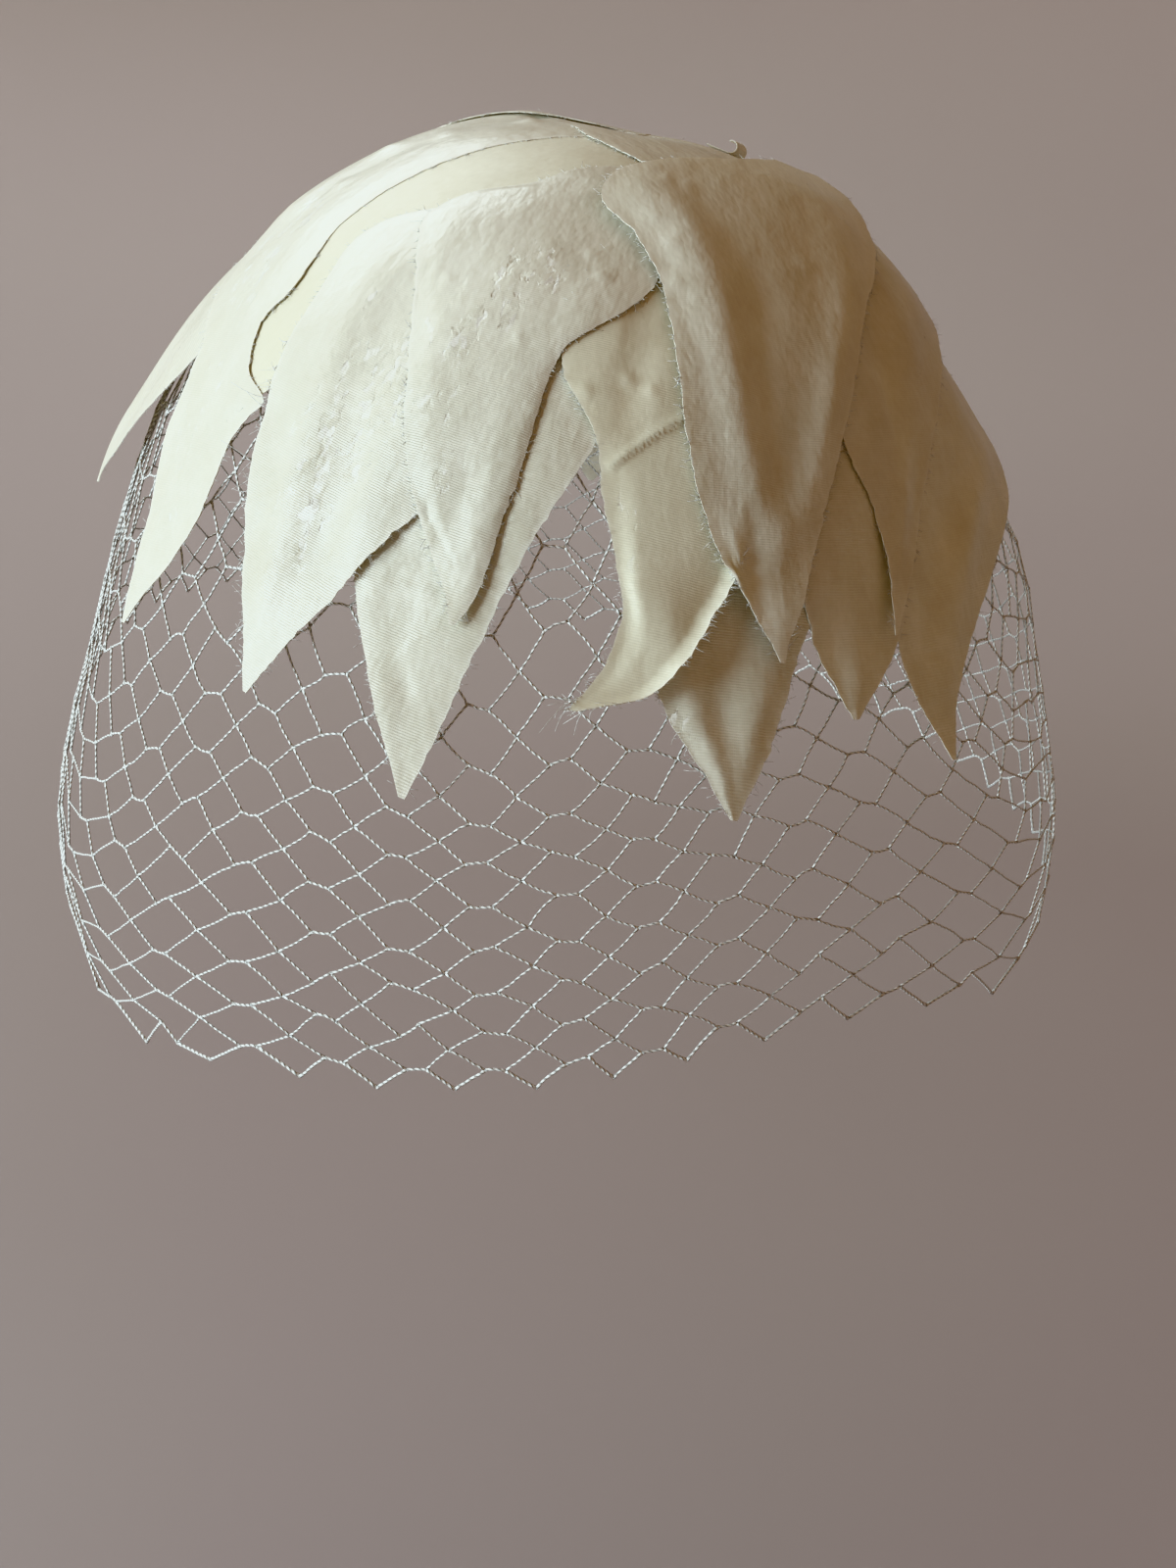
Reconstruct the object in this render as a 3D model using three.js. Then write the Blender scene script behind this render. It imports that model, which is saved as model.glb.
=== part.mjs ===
// Half hat: satin leaves layered over a small plain cap, with a net veil all round.
// Millimetres, +Z up. The hat is worn, facing -Y, and the wearer's left is +X.
// The origin is the middle of the cap's ceiling, where the top of the head sits.
// Everything lies on one dome. A place on it has an azimuth (0 at the front, rising towards +X)
// and a drop (the angle down from straight up), both seen from the dome's centre.

import * as THREE from "three";

const degree = Math.PI / 180;

// The cap and the dome it sits on
const capWall = 1.6;
const domeTop = 87.6;
const domeCentreZ = capWall - domeTop;
const capRimDrop = 57;
const frontBackStretch = 1.06;
const rimGapDrop = 0.22;

// The veil's wall, and how far it is blown out at the side, high up
const veilWall = 1.0;
const swell = { size: 5, drop: 90, dropSpread: 13, azimuth: 100, azimuthSpread: 35 };

// The leaves: cloth wall, clear gap to what is below, and the step from one layer to the next
const leafWall = 1.0;
const leafGap = 0.45;
const layerStep = 1.5;
const flare = { startDrop: 55, span: 45, size: 2.5, most: 1.3 };
const leafScale = 90;

// Grid sizes of the faceted surfaces
const capGrid = { around: 32, down: 6 };
const veilGrid = { around: 40, down: 9 };
const leafCell = { along: 9, across: 10 };
const curlGrid = { along: 10, across: 2 };

// Distance of the dome from its centre, from the crown to the veil's hem
const domeProfile = [
  { drop: 0, radius: domeTop },
  { drop: 30, radius: 86.5 },
  { drop: 55, radius: 86.5 },
  { drop: 70, radius: 87 },
  { drop: 80, radius: 88.5 },
  { drop: 95, radius: 94.5 },
  { drop: 105, radius: 103.5 },
  { drop: 114, radius: 113.5 },
  { drop: 125, radius: 123.5 },
  { drop: 135, radius: 132 },
  { drop: 150, radius: 140 },
];

// Height of the veil's hem all round
const hem = [
  { azimuth: -180, z: -122 },
  { azimuth: -150, z: -108 },
  { azimuth: -120, z: -102 },
  { azimuth: -98, z: -106 },
  { azimuth: -86, z: -125 },
  { azimuth: -76, z: -147 },
  { azimuth: -66, z: -161 },
  { azimuth: -52, z: -163 },
  { azimuth: -35, z: -158 },
  { azimuth: -10, z: -155 },
  { azimuth: 5, z: -152 },
  { azimuth: 20, z: -147 },
  { azimuth: 32, z: -147 },
  { azimuth: 45, z: -151 },
  { azimuth: 60, z: -157 },
  { azimuth: 75, z: -150 },
  { azimuth: 90, z: -146 },
  { azimuth: 115, z: -143 },
  { azimuth: 150, z: -132 },
  { azimuth: 180, z: -122 },
];

// Where the leaves are sewn down
const rosette = { azimuth: 53, drop: 19 };
const crownSeam = { azimuth: 120, drop: 10 };
const topSeam = { azimuth: 180, drop: 5 };

// Each leaf runs straight from its root to its tip over the dome. Its layer counts up from the cap.
// A section is a place along it, the distances of its left and right edges from the line
// (right is towards rising azimuth), and how far each edge is lifted off its layer.
const leaves = [
  {
    name: "leaf_front_far_left",
    root: rosette,
    tip: { azimuth: -56, drop: 66 },
    layer: 0,
    sections: [
      { along: 2, left: -12, right: 8, liftLeft: 0, liftRight: 0 },
      { along: 15, left: -18, right: 14, liftLeft: 0, liftRight: 0 },
      { along: 40, left: -20, right: 17, liftLeft: 0, liftRight: 0 },
      { along: 60, left: -19, right: 17, liftLeft: 0, liftRight: 0 },
      { along: 80, left: -14, right: 12, liftLeft: 0, liftRight: 0 },
      { along: 95, left: -6, right: 5, liftLeft: 0, liftRight: 0 },
      { along: 104, left: -0.5, right: 0.5, liftLeft: 0, liftRight: 0 },
    ],
  },
  {
    name: "leaf_side_far_left",
    root: crownSeam,
    tip: { azimuth: -97, drop: 80 },
    layer: 0,
    sections: [
      { along: 50, left: -10, right: 12, liftLeft: 0, liftRight: 0 },
      { along: 65, left: -15, right: 19, liftLeft: 0, liftRight: 0 },
      { along: 82, left: -18, right: 21, liftLeft: 0, liftRight: 0 },
      { along: 98, left: -16, right: 15, liftLeft: 1, liftRight: 0 },
      { along: 112, left: -11, right: 9, liftLeft: 2, liftRight: 2 },
      { along: 122, left: -5, right: 4, liftLeft: 3, liftRight: 3 },
      { along: 129, left: -0.5, right: 0.5, liftLeft: 4, liftRight: 4 },
    ],
  },
  {
    name: "leaf_crown_left",
    root: topSeam,
    tip: { azimuth: -58, drop: 89 },
    layer: 1,
    sections: [
      { along: -6, left: -10, right: 22, liftLeft: 0, liftRight: 0 },
      { along: 4, left: -17, right: 21, liftLeft: 0, liftRight: 0 },
      { along: 15, left: -22, right: 18, liftLeft: 0, liftRight: 0 },
      { along: 30, left: -26, right: 13, liftLeft: 0, liftRight: 1 },
      { along: 45, left: -27, right: 9.5, liftLeft: 0, liftRight: 2 },
      { along: 60, left: -26, right: 9, liftLeft: 0, liftRight: 2 },
      { along: 72, left: -22, right: 12, liftLeft: 0, liftRight: 2 },
      { along: 84, left: -11, right: 11.5, liftLeft: 0, liftRight: 2 },
      { along: 94, left: -3, right: 16, liftLeft: 0, liftRight: 1 },
      { along: 101, left: -3, right: 21, liftLeft: 0, liftRight: 1 },
      { along: 108, left: -5, right: 20, liftLeft: 0, liftRight: 0 },
      { along: 117, left: -3, right: 19, liftLeft: 0, liftRight: 0 },
      { along: 126, left: -0.5, right: 17, liftLeft: 0, liftRight: 0 },
      { along: 134, left: 0.5, right: 11, liftLeft: 0, liftRight: 0 },
      { along: 140, left: 0, right: 5, liftLeft: 0, liftRight: 0 },
      { along: 144, left: -0.5, right: 0.5, liftLeft: 0, liftRight: 0 },
    ],
  },
  {
    name: "leaf_front_left",
    root: rosette,
    tip: { azimuth: -32, drop: 92 },
    layer: 1,
    sections: [
      { along: 38, left: -10, right: 3, liftLeft: 0, liftRight: 0 },
      { along: 46, left: -20, right: 6, liftLeft: 0, liftRight: 0 },
      { along: 54, left: -31, right: 9, liftLeft: 0, liftRight: 0 },
      { along: 62, left: -34, right: 12, liftLeft: 0, liftRight: 0 },
      { along: 74, left: -32, right: 15, liftLeft: 0, liftRight: 0 },
      { along: 88, left: -28, right: 17, liftLeft: 0, liftRight: 0 },
      { along: 100, left: -24, right: 14, liftLeft: 0, liftRight: 0 },
      { along: 112, left: -18, right: 9, liftLeft: 1, liftRight: 1 },
      { along: 124, left: -11, right: 6, liftLeft: 1, liftRight: 1 },
      { along: 133, left: -5, right: 3, liftLeft: 2, liftRight: 2 },
      { along: 140, left: -0.5, right: 0.5, liftLeft: 2, liftRight: 2 },
    ],
  },
  {
    name: "leaf_front_middle",
    root: rosette,
    tip: { azimuth: -10, drop: 84 },
    layer: 2,
    sections: [
      { along: 14, left: -4, right: 4, liftLeft: 0, liftRight: 0 },
      { along: 22, left: -15, right: 5, liftLeft: 0, liftRight: 0 },
      { along: 29, left: -21, right: 6, liftLeft: 0, liftRight: 0 },
      { along: 34, left: -32, right: 7, liftLeft: 0, liftRight: 0 },
      { along: 42, left: -37, right: 9, liftLeft: 0, liftRight: 0 },
      { along: 52, left: -35, right: 8, liftLeft: 0, liftRight: 0 },
      { along: 61, left: -32, right: 3, liftLeft: 0, liftRight: 1.5 },
      { along: 68, left: -30, right: -1, liftLeft: 0, liftRight: 3 },
      { along: 79, left: -26, right: -1, liftLeft: 0, liftRight: 3 },
      { along: 90, left: -22, right: 0, liftLeft: 0, liftRight: 2 },
      { along: 102, left: -15, right: 0.5, liftLeft: 1, liftRight: 2 },
      { along: 111, left: -7, right: 1, liftLeft: 2, liftRight: 2 },
      { along: 117, left: -0.5, right: 0.5, liftLeft: 3, liftRight: 3 },
    ],
  },
  {
    name: "leaf_lower_left",
    root: rosette,
    tip: { azimuth: -15, drop: 101.5 },
    layer: 0,
    sections: [
      { along: 45, left: -12, right: 4, liftLeft: 0, liftRight: 0 },
      { along: 60, left: -20, right: 7, liftLeft: 0, liftRight: 0 },
      { along: 74, left: -25, right: 10, liftLeft: 0, liftRight: 0 },
      { along: 85, left: -26, right: 9, liftLeft: 0, liftRight: 0 },
      { along: 98, left: -26, right: 6, liftLeft: 0, liftRight: 0 },
      { along: 110, left: -25, right: 4, liftLeft: 0, liftRight: 0 },
      { along: 119, left: -21, right: 3, liftLeft: 0, liftRight: 0 },
      { along: 128, left: -15, right: 2, liftLeft: 0, liftRight: 0 },
      { along: 137, left: -8, right: 1.5, liftLeft: 1, liftRight: 1 },
      { along: 146, left: -0.5, right: 0.5, liftLeft: 2, liftRight: 2 },
    ],
  },
  {
    name: "leaf_curling",
    root: rosette,
    tip: { azimuth: 1, drop: 93.5 },
    layer: 1,
    sections: [
      { along: 40, left: -10, right: 10, liftLeft: 0, liftRight: 0 },
      { along: 56, left: -15, right: 14, liftLeft: 0, liftRight: 0 },
      { along: 70, left: -14.5, right: 16, liftLeft: 1, liftRight: 0 },
      { along: 80, left: -7, right: 19, liftLeft: 2, liftRight: 0 },
      { along: 90, left: -3.5, right: 21.5, liftLeft: 3, liftRight: 0 },
      { along: 100, left: 1, right: 21, liftLeft: 3, liftRight: 1 },
      { along: 108, left: 4, right: 18, liftLeft: 3, liftRight: 2 },
      { along: 115, left: 4, right: 15, liftLeft: 3, liftRight: 3 },
      { along: 121, left: 2, right: 11, liftLeft: 3, liftRight: 3 },
      { along: 124, left: 0.5, right: 5, liftLeft: 4, liftRight: 4 },
      { along: 126, left: -0.5, right: 0.5, liftLeft: 4, liftRight: 4 },
    ],
  },
  {
    name: "leaf_lower_right",
    root: rosette,
    tip: { azimuth: 16, drop: 103.5 },
    layer: 0,
    sections: [
      { along: 50, left: -10, right: 14, liftLeft: 0, liftRight: 0 },
      { along: 66, left: -17, right: 20, liftLeft: 0, liftRight: 0 },
      { along: 82, left: -20, right: 22, liftLeft: 0, liftRight: 0 },
      { along: 97, left: -20, right: 18, liftLeft: 0, liftRight: 0 },
      { along: 108, left: -18, right: 12, liftLeft: 0, liftRight: 0 },
      { along: 116, left: -15, right: 9, liftLeft: 0, liftRight: 0 },
      { along: 123, left: -11.5, right: 7, liftLeft: 0, liftRight: 0 },
      { along: 130, left: -6, right: 4, liftLeft: 1, liftRight: 1 },
      { along: 137, left: -0.5, right: 0.5, liftLeft: 2, liftRight: 2 },
    ],
  },
  {
    name: "leaf_front_right",
    root: rosette,
    tip: { azimuth: 22, drop: 88.5 },
    layer: 3,
    sections: [
      { along: -3, left: 22, right: 32, liftLeft: 0, liftRight: 0 },
      { along: 3, left: 16, right: 35, liftLeft: 0, liftRight: 0 },
      { along: 9, left: 6, right: 36, liftLeft: 0, liftRight: 0 },
      { along: 13, left: -8, right: 36, liftLeft: 0, liftRight: 0 },
      { along: 17, left: -18, right: 36, liftLeft: 0, liftRight: 0 },
      { along: 24, left: -23, right: 35, liftLeft: 0, liftRight: 0 },
      { along: 34, left: -19, right: 31, liftLeft: 0, liftRight: 0 },
      { along: 46, left: -16.5, right: 25, liftLeft: 0, liftRight: 0 },
      { along: 60, left: -16, right: 20, liftLeft: 0, liftRight: 0 },
      { along: 74, left: -15.5, right: 15, liftLeft: 0, liftRight: 0 },
      { along: 86, left: -13.5, right: 11, liftLeft: 0, liftRight: 0 },
      { along: 97, left: -9.5, right: 7.5, liftLeft: 1, liftRight: 1 },
      { along: 105, left: -4.5, right: 4.5, liftLeft: 2, liftRight: 2 },
      { along: 112, left: -0.5, right: 0.5, liftLeft: 2, liftRight: 2 },
    ],
  },
  {
    name: "leaf_low_right",
    root: rosette,
    tip: { azimuth: 31, drop: 96 },
    layer: 1,
    sections: [
      { along: 46, left: -4, right: 12, liftLeft: 0, liftRight: 0 },
      { along: 60, left: -7, right: 17, liftLeft: 0, liftRight: 0 },
      { along: 76, left: -10, right: 19, liftLeft: 0, liftRight: 0 },
      { along: 90, left: -11, right: 18, liftLeft: 0, liftRight: 0 },
      { along: 100, left: -9, right: 15, liftLeft: 0, liftRight: 0 },
      { along: 109, left: -6.5, right: 12, liftLeft: 0, liftRight: 0 },
      { along: 116, left: -3.5, right: 6, liftLeft: 1, liftRight: 1 },
      { along: 122, left: -0.5, right: 0.5, liftLeft: 2, liftRight: 2 },
    ],
  },
  {
    name: "leaf_side_right",
    root: rosette,
    tip: { azimuth: 40, drop: 87 },
    layer: 2,
    sections: [
      { along: -6, left: -4, right: 30, liftLeft: 0, liftRight: 0 },
      { along: 4, left: -4, right: 38, liftLeft: 0, liftRight: 0 },
      { along: 14, left: -8, right: 44, liftLeft: 0, liftRight: 0 },
      { along: 28, left: -9, right: 50, liftLeft: 0, liftRight: 0 },
      { along: 42, left: -9, right: 47, liftLeft: 0, liftRight: 0 },
      { along: 54, left: -8, right: 38, liftLeft: 0, liftRight: 0 },
      { along: 66, left: -6, right: 28, liftLeft: 0, liftRight: 0 },
      { along: 77, left: -4.5, right: 19, liftLeft: 0, liftRight: 0 },
      { along: 88, left: -2, right: 12, liftLeft: 0, liftRight: 0 },
      { along: 97, left: -1.5, right: 6, liftLeft: 1, liftRight: 1 },
      { along: 105, left: -0.5, right: 0.5, liftLeft: 2, liftRight: 2 },
    ],
  },
  {
    name: "leaf_side_far_right",
    root: rosette,
    tip: { azimuth: 43, drop: 101 },
    layer: 0,
    sections: [
      { along: 36, left: 16, right: 48, liftLeft: 0, liftRight: 0 },
      { along: 50, left: 14, right: 58, liftLeft: 0, liftRight: 0 },
      { along: 64, left: 13, right: 61, liftLeft: 0, liftRight: 1 },
      { along: 76, left: 12, right: 59, liftLeft: 0, liftRight: 2 },
      { along: 86, left: 7, right: 50, liftLeft: 0, liftRight: 2 },
      { along: 94, left: 2, right: 38, liftLeft: 0, liftRight: 1 },
      { along: 101, left: -3, right: 27, liftLeft: 0, liftRight: 0 },
      { along: 107, left: -6, right: 18, liftLeft: 0, liftRight: 0 },
      { along: 113, left: -7, right: 11, liftLeft: 0, liftRight: 0 },
      { along: 121, left: -5, right: 4, liftLeft: 1, liftRight: 1 },
      { along: 128, left: -0.5, right: 0.5, liftLeft: 2, liftRight: 2 },
    ],
  },
];

// The leaves at the back all have one plain outline. Each is cut to its own length.
const backOutline = [
  { part: 0, half: 8, lift: 0 },
  { part: 0.2, half: 15, lift: 0 },
  { part: 0.45, half: 19.5, lift: 0 },
  { part: 0.7, half: 18, lift: 0 },
  { part: 0.87, half: 10.5, lift: 1 },
  { part: 1, half: 0.5, lift: 2 },
];

const backLeaves = [
  { name: "leaf_back_1", root: crownSeam, tip: { azimuth: -118, drop: 84 }, layer: 2, start: -8 },
  { name: "leaf_back_2", root: crownSeam, tip: { azimuth: -140, drop: 90 }, layer: 0, start: 36 },
  { name: "leaf_back_3", root: crownSeam, tip: { azimuth: -163, drop: 84 }, layer: 1, start: 14 },
  { name: "leaf_back_4", root: crownSeam, tip: { azimuth: 175, drop: 91 }, layer: 0, start: 30 },
  { name: "leaf_back_5", root: crownSeam, tip: { azimuth: 153, drop: 84 }, layer: 2, start: 22 },
  { name: "leaf_back_6", root: crownSeam, tip: { azimuth: 130, drop: 90 }, layer: 0, start: 22 },
  { name: "leaf_back_7", root: crownSeam, tip: { azimuth: 100, drop: 74 }, layer: 1, start: 0 },
];

// The small curled end that stands up where the roots meet
const curl = { azimuth: 104, drop: 24, heading: 75, layer: 2, width: 8, radius: 2, turn: 200 };

const satin = { colour: 0xf1f0df, roughness: 0.42 };
const capCloth = { colour: 0xe9e7d6, roughness: 0.8 };
const netCloth = { colour: 0xf3f1e6, roughness: 0.7 };

// A smooth curve through table rows: the value of one column at a place in another
function readTable(rows, placeColumn, valueColumn, place) {
  let i = 0;
  while (i < rows.length - 2 && place > rows[i + 1][placeColumn]) {
    i += 1;
  }
  const before = rows[Math.max(i - 1, 0)];
  const from = rows[i];
  const to = rows[i + 1];
  const after = rows[Math.min(i + 2, rows.length - 1)];
  const span = to[placeColumn] - from[placeColumn];
  const slopeFrom = (to[valueColumn] - before[valueColumn]) / (to[placeColumn] - before[placeColumn]);
  const slopeTo = (after[valueColumn] - from[valueColumn]) / (after[placeColumn] - from[placeColumn]);
  return hermite(from[valueColumn], to[valueColumn], slopeFrom * span, slopeTo * span,
    (place - from[placeColumn]) / span);
}

function hermite(from, to, slopeFrom, slopeTo, t) {
  const t2 = t * t;
  const t3 = t2 * t;
  return (2 * t3 - 3 * t2 + 1) * from + (t3 - 2 * t2 + t) * slopeFrom
    + (3 * t2 - 2 * t3) * to + (t3 - t2) * slopeTo;
}

// The distance along a leaf at a share of the way through its sections
function placeAlong(sections, share) {
  const place = share * (sections.length - 1);
  const i = Math.min(Math.floor(place), sections.length - 2);
  return THREE.MathUtils.lerp(sections[i].along, sections[i + 1].along, place - i);
}

function bell(value, middle, spread) {
  const away = (value - middle) / spread;
  return Math.exp(-away * away);
}

function directionOf(place) {
  const azimuth = place.azimuth * degree;
  const drop = place.drop * degree;
  return new THREE.Vector3(
    Math.sin(drop) * Math.sin(azimuth),
    -Math.sin(drop) * Math.cos(azimuth),
    Math.cos(drop),
  );
}

function placeOf(direction) {
  const drop = Math.acos(THREE.MathUtils.clamp(direction.z, -1, 1)) / degree;
  const azimuth = Math.atan2(direction.x, -direction.y) / degree;
  return { azimuth, drop };
}

// A point of the bare dome
function domePoint(place) {
  const blown = swell.size * bell(place.drop, swell.drop, swell.dropSpread)
    * bell(place.azimuth, swell.azimuth, swell.azimuthSpread);
  const radius = readTable(domeProfile, "drop", "radius", place.drop) + blown;
  const point = directionOf(place).multiplyScalar(radius);
  point.y *= frontBackStretch;
  point.z += domeCentreZ;
  return point;
}

// A point at a height straight out from the dome
function domeOffset(place, height) {
  const step = 0.1;
  const drop = Math.max(place.drop, step);
  const nearer = domePoint({ azimuth: place.azimuth, drop: drop - step / 2 });
  const further = domePoint({ azimuth: place.azimuth, drop: drop + step / 2 });
  const turn = step / Math.max(Math.sin(drop * degree), step);
  const lower = domePoint({ azimuth: place.azimuth - turn / 2, drop });
  const higher = domePoint({ azimuth: place.azimuth + turn / 2, drop });
  const outward = further.sub(nearer).cross(higher.sub(lower)).normalize();
  return domePoint(place).addScaledVector(outward, height);
}

// A closed mesh from points and faces
function closedMesh(name, look, points, faces) {
  const geometry = new THREE.BufferGeometry();
  const flat = points.flatMap((point) => [point.x, point.y, point.z]);
  geometry.setAttribute("position", new THREE.Float32BufferAttribute(flat, 3));
  geometry.setIndex(faces.flat());
  geometry.computeVertexNormals();
  const material = new THREE.MeshStandardMaterial({
    color: look.colour,
    roughness: look.roughness,
    metalness: 0,
  });
  const mesh = new THREE.Mesh(geometry, material);
  mesh.name = name;
  return mesh;
}

// A sheet with a thickness: outer and inner are points of (i, j), with i along and j across
function sheetSolid(name, look, along, across, outerPoint, innerPoint) {
  const points = [];
  const faces = [];
  const row = across + 1;
  const layer = (along + 1) * row;
  for (const pointAt of [outerPoint, innerPoint]) {
    for (let i = 0; i <= along; i += 1) {
      for (let j = 0; j <= across; j += 1) {
        points.push(pointAt(i / along, j / across));
      }
    }
  }
  const at = (i, j, side) => side * layer + i * row + j;
  for (let i = 0; i < along; i += 1) {
    for (let j = 0; j < across; j += 1) {
      faces.push([at(i, j, 0), at(i + 1, j, 0), at(i + 1, j + 1, 0)]);
      faces.push([at(i, j, 0), at(i + 1, j + 1, 0), at(i, j + 1, 0)]);
      faces.push([at(i, j, 1), at(i + 1, j + 1, 1), at(i + 1, j, 1)]);
      faces.push([at(i, j, 1), at(i, j + 1, 1), at(i + 1, j + 1, 1)]);
    }
  }
  const border = [];
  for (let i = 0; i < along; i += 1) {
    border.push([i, 0]);
  }
  for (let j = 0; j < across; j += 1) {
    border.push([along, j]);
  }
  for (let i = along; i > 0; i -= 1) {
    border.push([i, across]);
  }
  for (let j = across; j > 0; j -= 1) {
    border.push([0, j]);
  }
  border.forEach(([i, j], k) => {
    const [nextI, nextJ] = border[(k + 1) % border.length];
    faces.push([at(i, j, 0), at(i, j, 1), at(nextI, nextJ, 1)]);
    faces.push([at(i, j, 0), at(nextI, nextJ, 1), at(nextI, nextJ, 0)]);
  });
  return closedMesh(name, look, points, faces);
}

// A point of a leaf, by its share along and across, at a height above its layer's underside
function leafPoint(leaf, share, side, height) {
  const root = directionOf(leaf.root);
  const tip = directionOf(leaf.tip);
  const ahead = tip.clone().addScaledVector(root, -tip.dot(root)).normalize();
  const right = root.clone().cross(ahead);
  const sections = leaf.sections;
  const along = placeAlong(sections, share);
  const read = (column) => readTable(sections, "along", column, along);
  const turnAlong = along / leafScale;
  const turnAcross = THREE.MathUtils.lerp(read("left"), read("right"), side) / leafScale;
  const lift = THREE.MathUtils.lerp(read("liftLeft"), read("liftRight"), side);
  const direction = root.multiplyScalar(Math.cos(turnAlong)).addScaledVector(ahead, Math.sin(turnAlong));
  direction.multiplyScalar(Math.cos(turnAcross)).addScaledVector(right, Math.sin(turnAcross));
  const place = placeOf(direction);
  const away = THREE.MathUtils.clamp((place.drop - flare.startDrop) / flare.span, 0, flare.most);
  const base = leafGap + layerStep * leaf.layer + flare.size * away * away;
  return domeOffset(place, base + lift + height);
}

function makeLeaf(leaf) {
  const { sections } = leaf;
  const length = sections[sections.length - 1].along - sections[0].along;
  const widest = Math.max(...sections.map((row) => row.right - row.left));
  const along = Math.max(Math.ceil(length / leafCell.along), sections.length);
  const across = Math.ceil(widest / leafCell.across);
  return sheetSolid(leaf.name, satin, along, across,
    (share, side) => leafPoint(leaf, share, side, leafWall),
    (share, side) => leafPoint(leaf, share, side, 0));
}

// A back leaf gets its sections from the plain outline
function makeBackLeaf(leaf) {
  const length = leafScale * directionOf(leaf.root).angleTo(directionOf(leaf.tip));
  const sections = backOutline.map((row) => ({
    along: leaf.start + row.part * (length - leaf.start),
    left: -row.half,
    right: row.half,
    liftLeft: row.lift,
    liftRight: row.lift,
  }));
  return makeLeaf({ ...leaf, sections });
}

// The curled end: a short strip that rises from its layer and rolls back over itself
function makeCurl() {
  const middle = directionOf(curl);
  const towards = directionOf({ azimuth: curl.heading, drop: 90 });
  const ahead = towards.addScaledVector(middle, -towards.dot(middle)).normalize();
  const right = middle.clone().cross(ahead);
  const foot = domeOffset(curl, leafGap + layerStep * curl.layer);
  const pointAt = (share, side, radius) => {
    const angle = share * curl.turn * degree;
    return foot.clone()
      .addScaledVector(ahead, radius * Math.sin(angle))
      .addScaledVector(middle, curl.radius - radius * Math.cos(angle))
      .addScaledVector(right, (side - 0.5) * curl.width);
  };
  return sheetSolid("leaf_crown_curl", satin, curlGrid.along, curlGrid.across,
    (share, side) => pointAt(share, side, curl.radius - leafWall),
    (share, side) => pointAt(share, side, curl.radius));
}

// The cap: a shell round the crown, open below
function makeCap() {
  const points = [];
  const faces = [];
  const { around, down } = capGrid;
  const side = 1 + around * down;
  for (const height of [0, -capWall]) {
    points.push(domeOffset({ azimuth: 0, drop: 0 }, height));
    for (let i = 1; i <= down; i += 1) {
      for (let j = 0; j < around; j += 1) {
        points.push(domeOffset({ azimuth: (360 * j) / around, drop: (capRimDrop * i) / down }, height));
      }
    }
  }
  const at = (i, j, layer) => layer * side + 1 + (i - 1) * around + (j % around);
  for (let j = 0; j < around; j += 1) {
    faces.push([0, at(1, j, 0), at(1, j + 1, 0)]);
    faces.push([side, at(1, j + 1, 1), at(1, j, 1)]);
    for (let i = 1; i < down; i += 1) {
      faces.push([at(i, j, 0), at(i + 1, j, 0), at(i + 1, j + 1, 0)]);
      faces.push([at(i, j, 0), at(i + 1, j + 1, 0), at(i, j + 1, 0)]);
      faces.push([at(i, j, 1), at(i + 1, j + 1, 1), at(i + 1, j, 1)]);
      faces.push([at(i, j, 1), at(i, j + 1, 1), at(i + 1, j + 1, 1)]);
    }
    faces.push([at(down, j, 0), at(down, j, 1), at(down, j + 1, 1)]);
    faces.push([at(down, j, 0), at(down, j + 1, 1), at(down, j + 1, 0)]);
  }
  return closedMesh("cap_base", capCloth, points, faces);
}

// The drop at which the dome reaches a height
function dropAtHeight(azimuth, z) {
  let low = capRimDrop;
  let high = domeProfile[domeProfile.length - 1].drop;
  for (let k = 0; k < 40; k += 1) {
    const middle = (low + high) / 2;
    if (domePoint({ azimuth, drop: middle }).z > z) {
      low = middle;
    } else {
      high = middle;
    }
  }
  return low;
}

// The veil's outer form: a thin open bell from just under the cap's rim to the hem
function makeVeil() {
  const points = [];
  const faces = [];
  const { around, down } = veilGrid;
  const side = around * (down + 1);
  const top = capRimDrop + rimGapDrop;
  for (const height of [0, -veilWall]) {
    for (let i = 0; i <= down; i += 1) {
      for (let j = 0; j < around; j += 1) {
        const azimuth = (360 * j) / around - 180;
        const bottom = dropAtHeight(azimuth, readTable(hem, "azimuth", "z", azimuth));
        points.push(domeOffset({ azimuth, drop: top + ((bottom - top) * i) / down }, height));
      }
    }
  }
  const at = (i, j, layer) => layer * side + i * around + (j % around);
  for (let j = 0; j < around; j += 1) {
    for (let i = 0; i < down; i += 1) {
      faces.push([at(i, j, 0), at(i + 1, j, 0), at(i + 1, j + 1, 0)]);
      faces.push([at(i, j, 0), at(i + 1, j + 1, 0), at(i, j + 1, 0)]);
      faces.push([at(i, j, 1), at(i + 1, j + 1, 1), at(i + 1, j, 1)]);
      faces.push([at(i, j, 1), at(i, j + 1, 1), at(i + 1, j + 1, 1)]);
    }
    faces.push([at(0, j, 1), at(0, j, 0), at(0, j + 1, 0)]);
    faces.push([at(0, j, 1), at(0, j + 1, 0), at(0, j + 1, 1)]);
    faces.push([at(down, j, 0), at(down, j, 1), at(down, j + 1, 1)]);
    faces.push([at(down, j, 0), at(down, j + 1, 1), at(down, j + 1, 0)]);
  }
  return closedMesh("veil", netCloth, points, faces);
}

const hat = new THREE.Group();
hat.name = "half_hat";
hat.add(makeCap());
hat.add(makeVeil());
leaves.forEach((leaf) => hat.add(makeLeaf(leaf)));
backLeaves.forEach((leaf) => hat.add(makeBackLeaf(leaf)));
hat.add(makeCurl());

export default hat;
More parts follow.
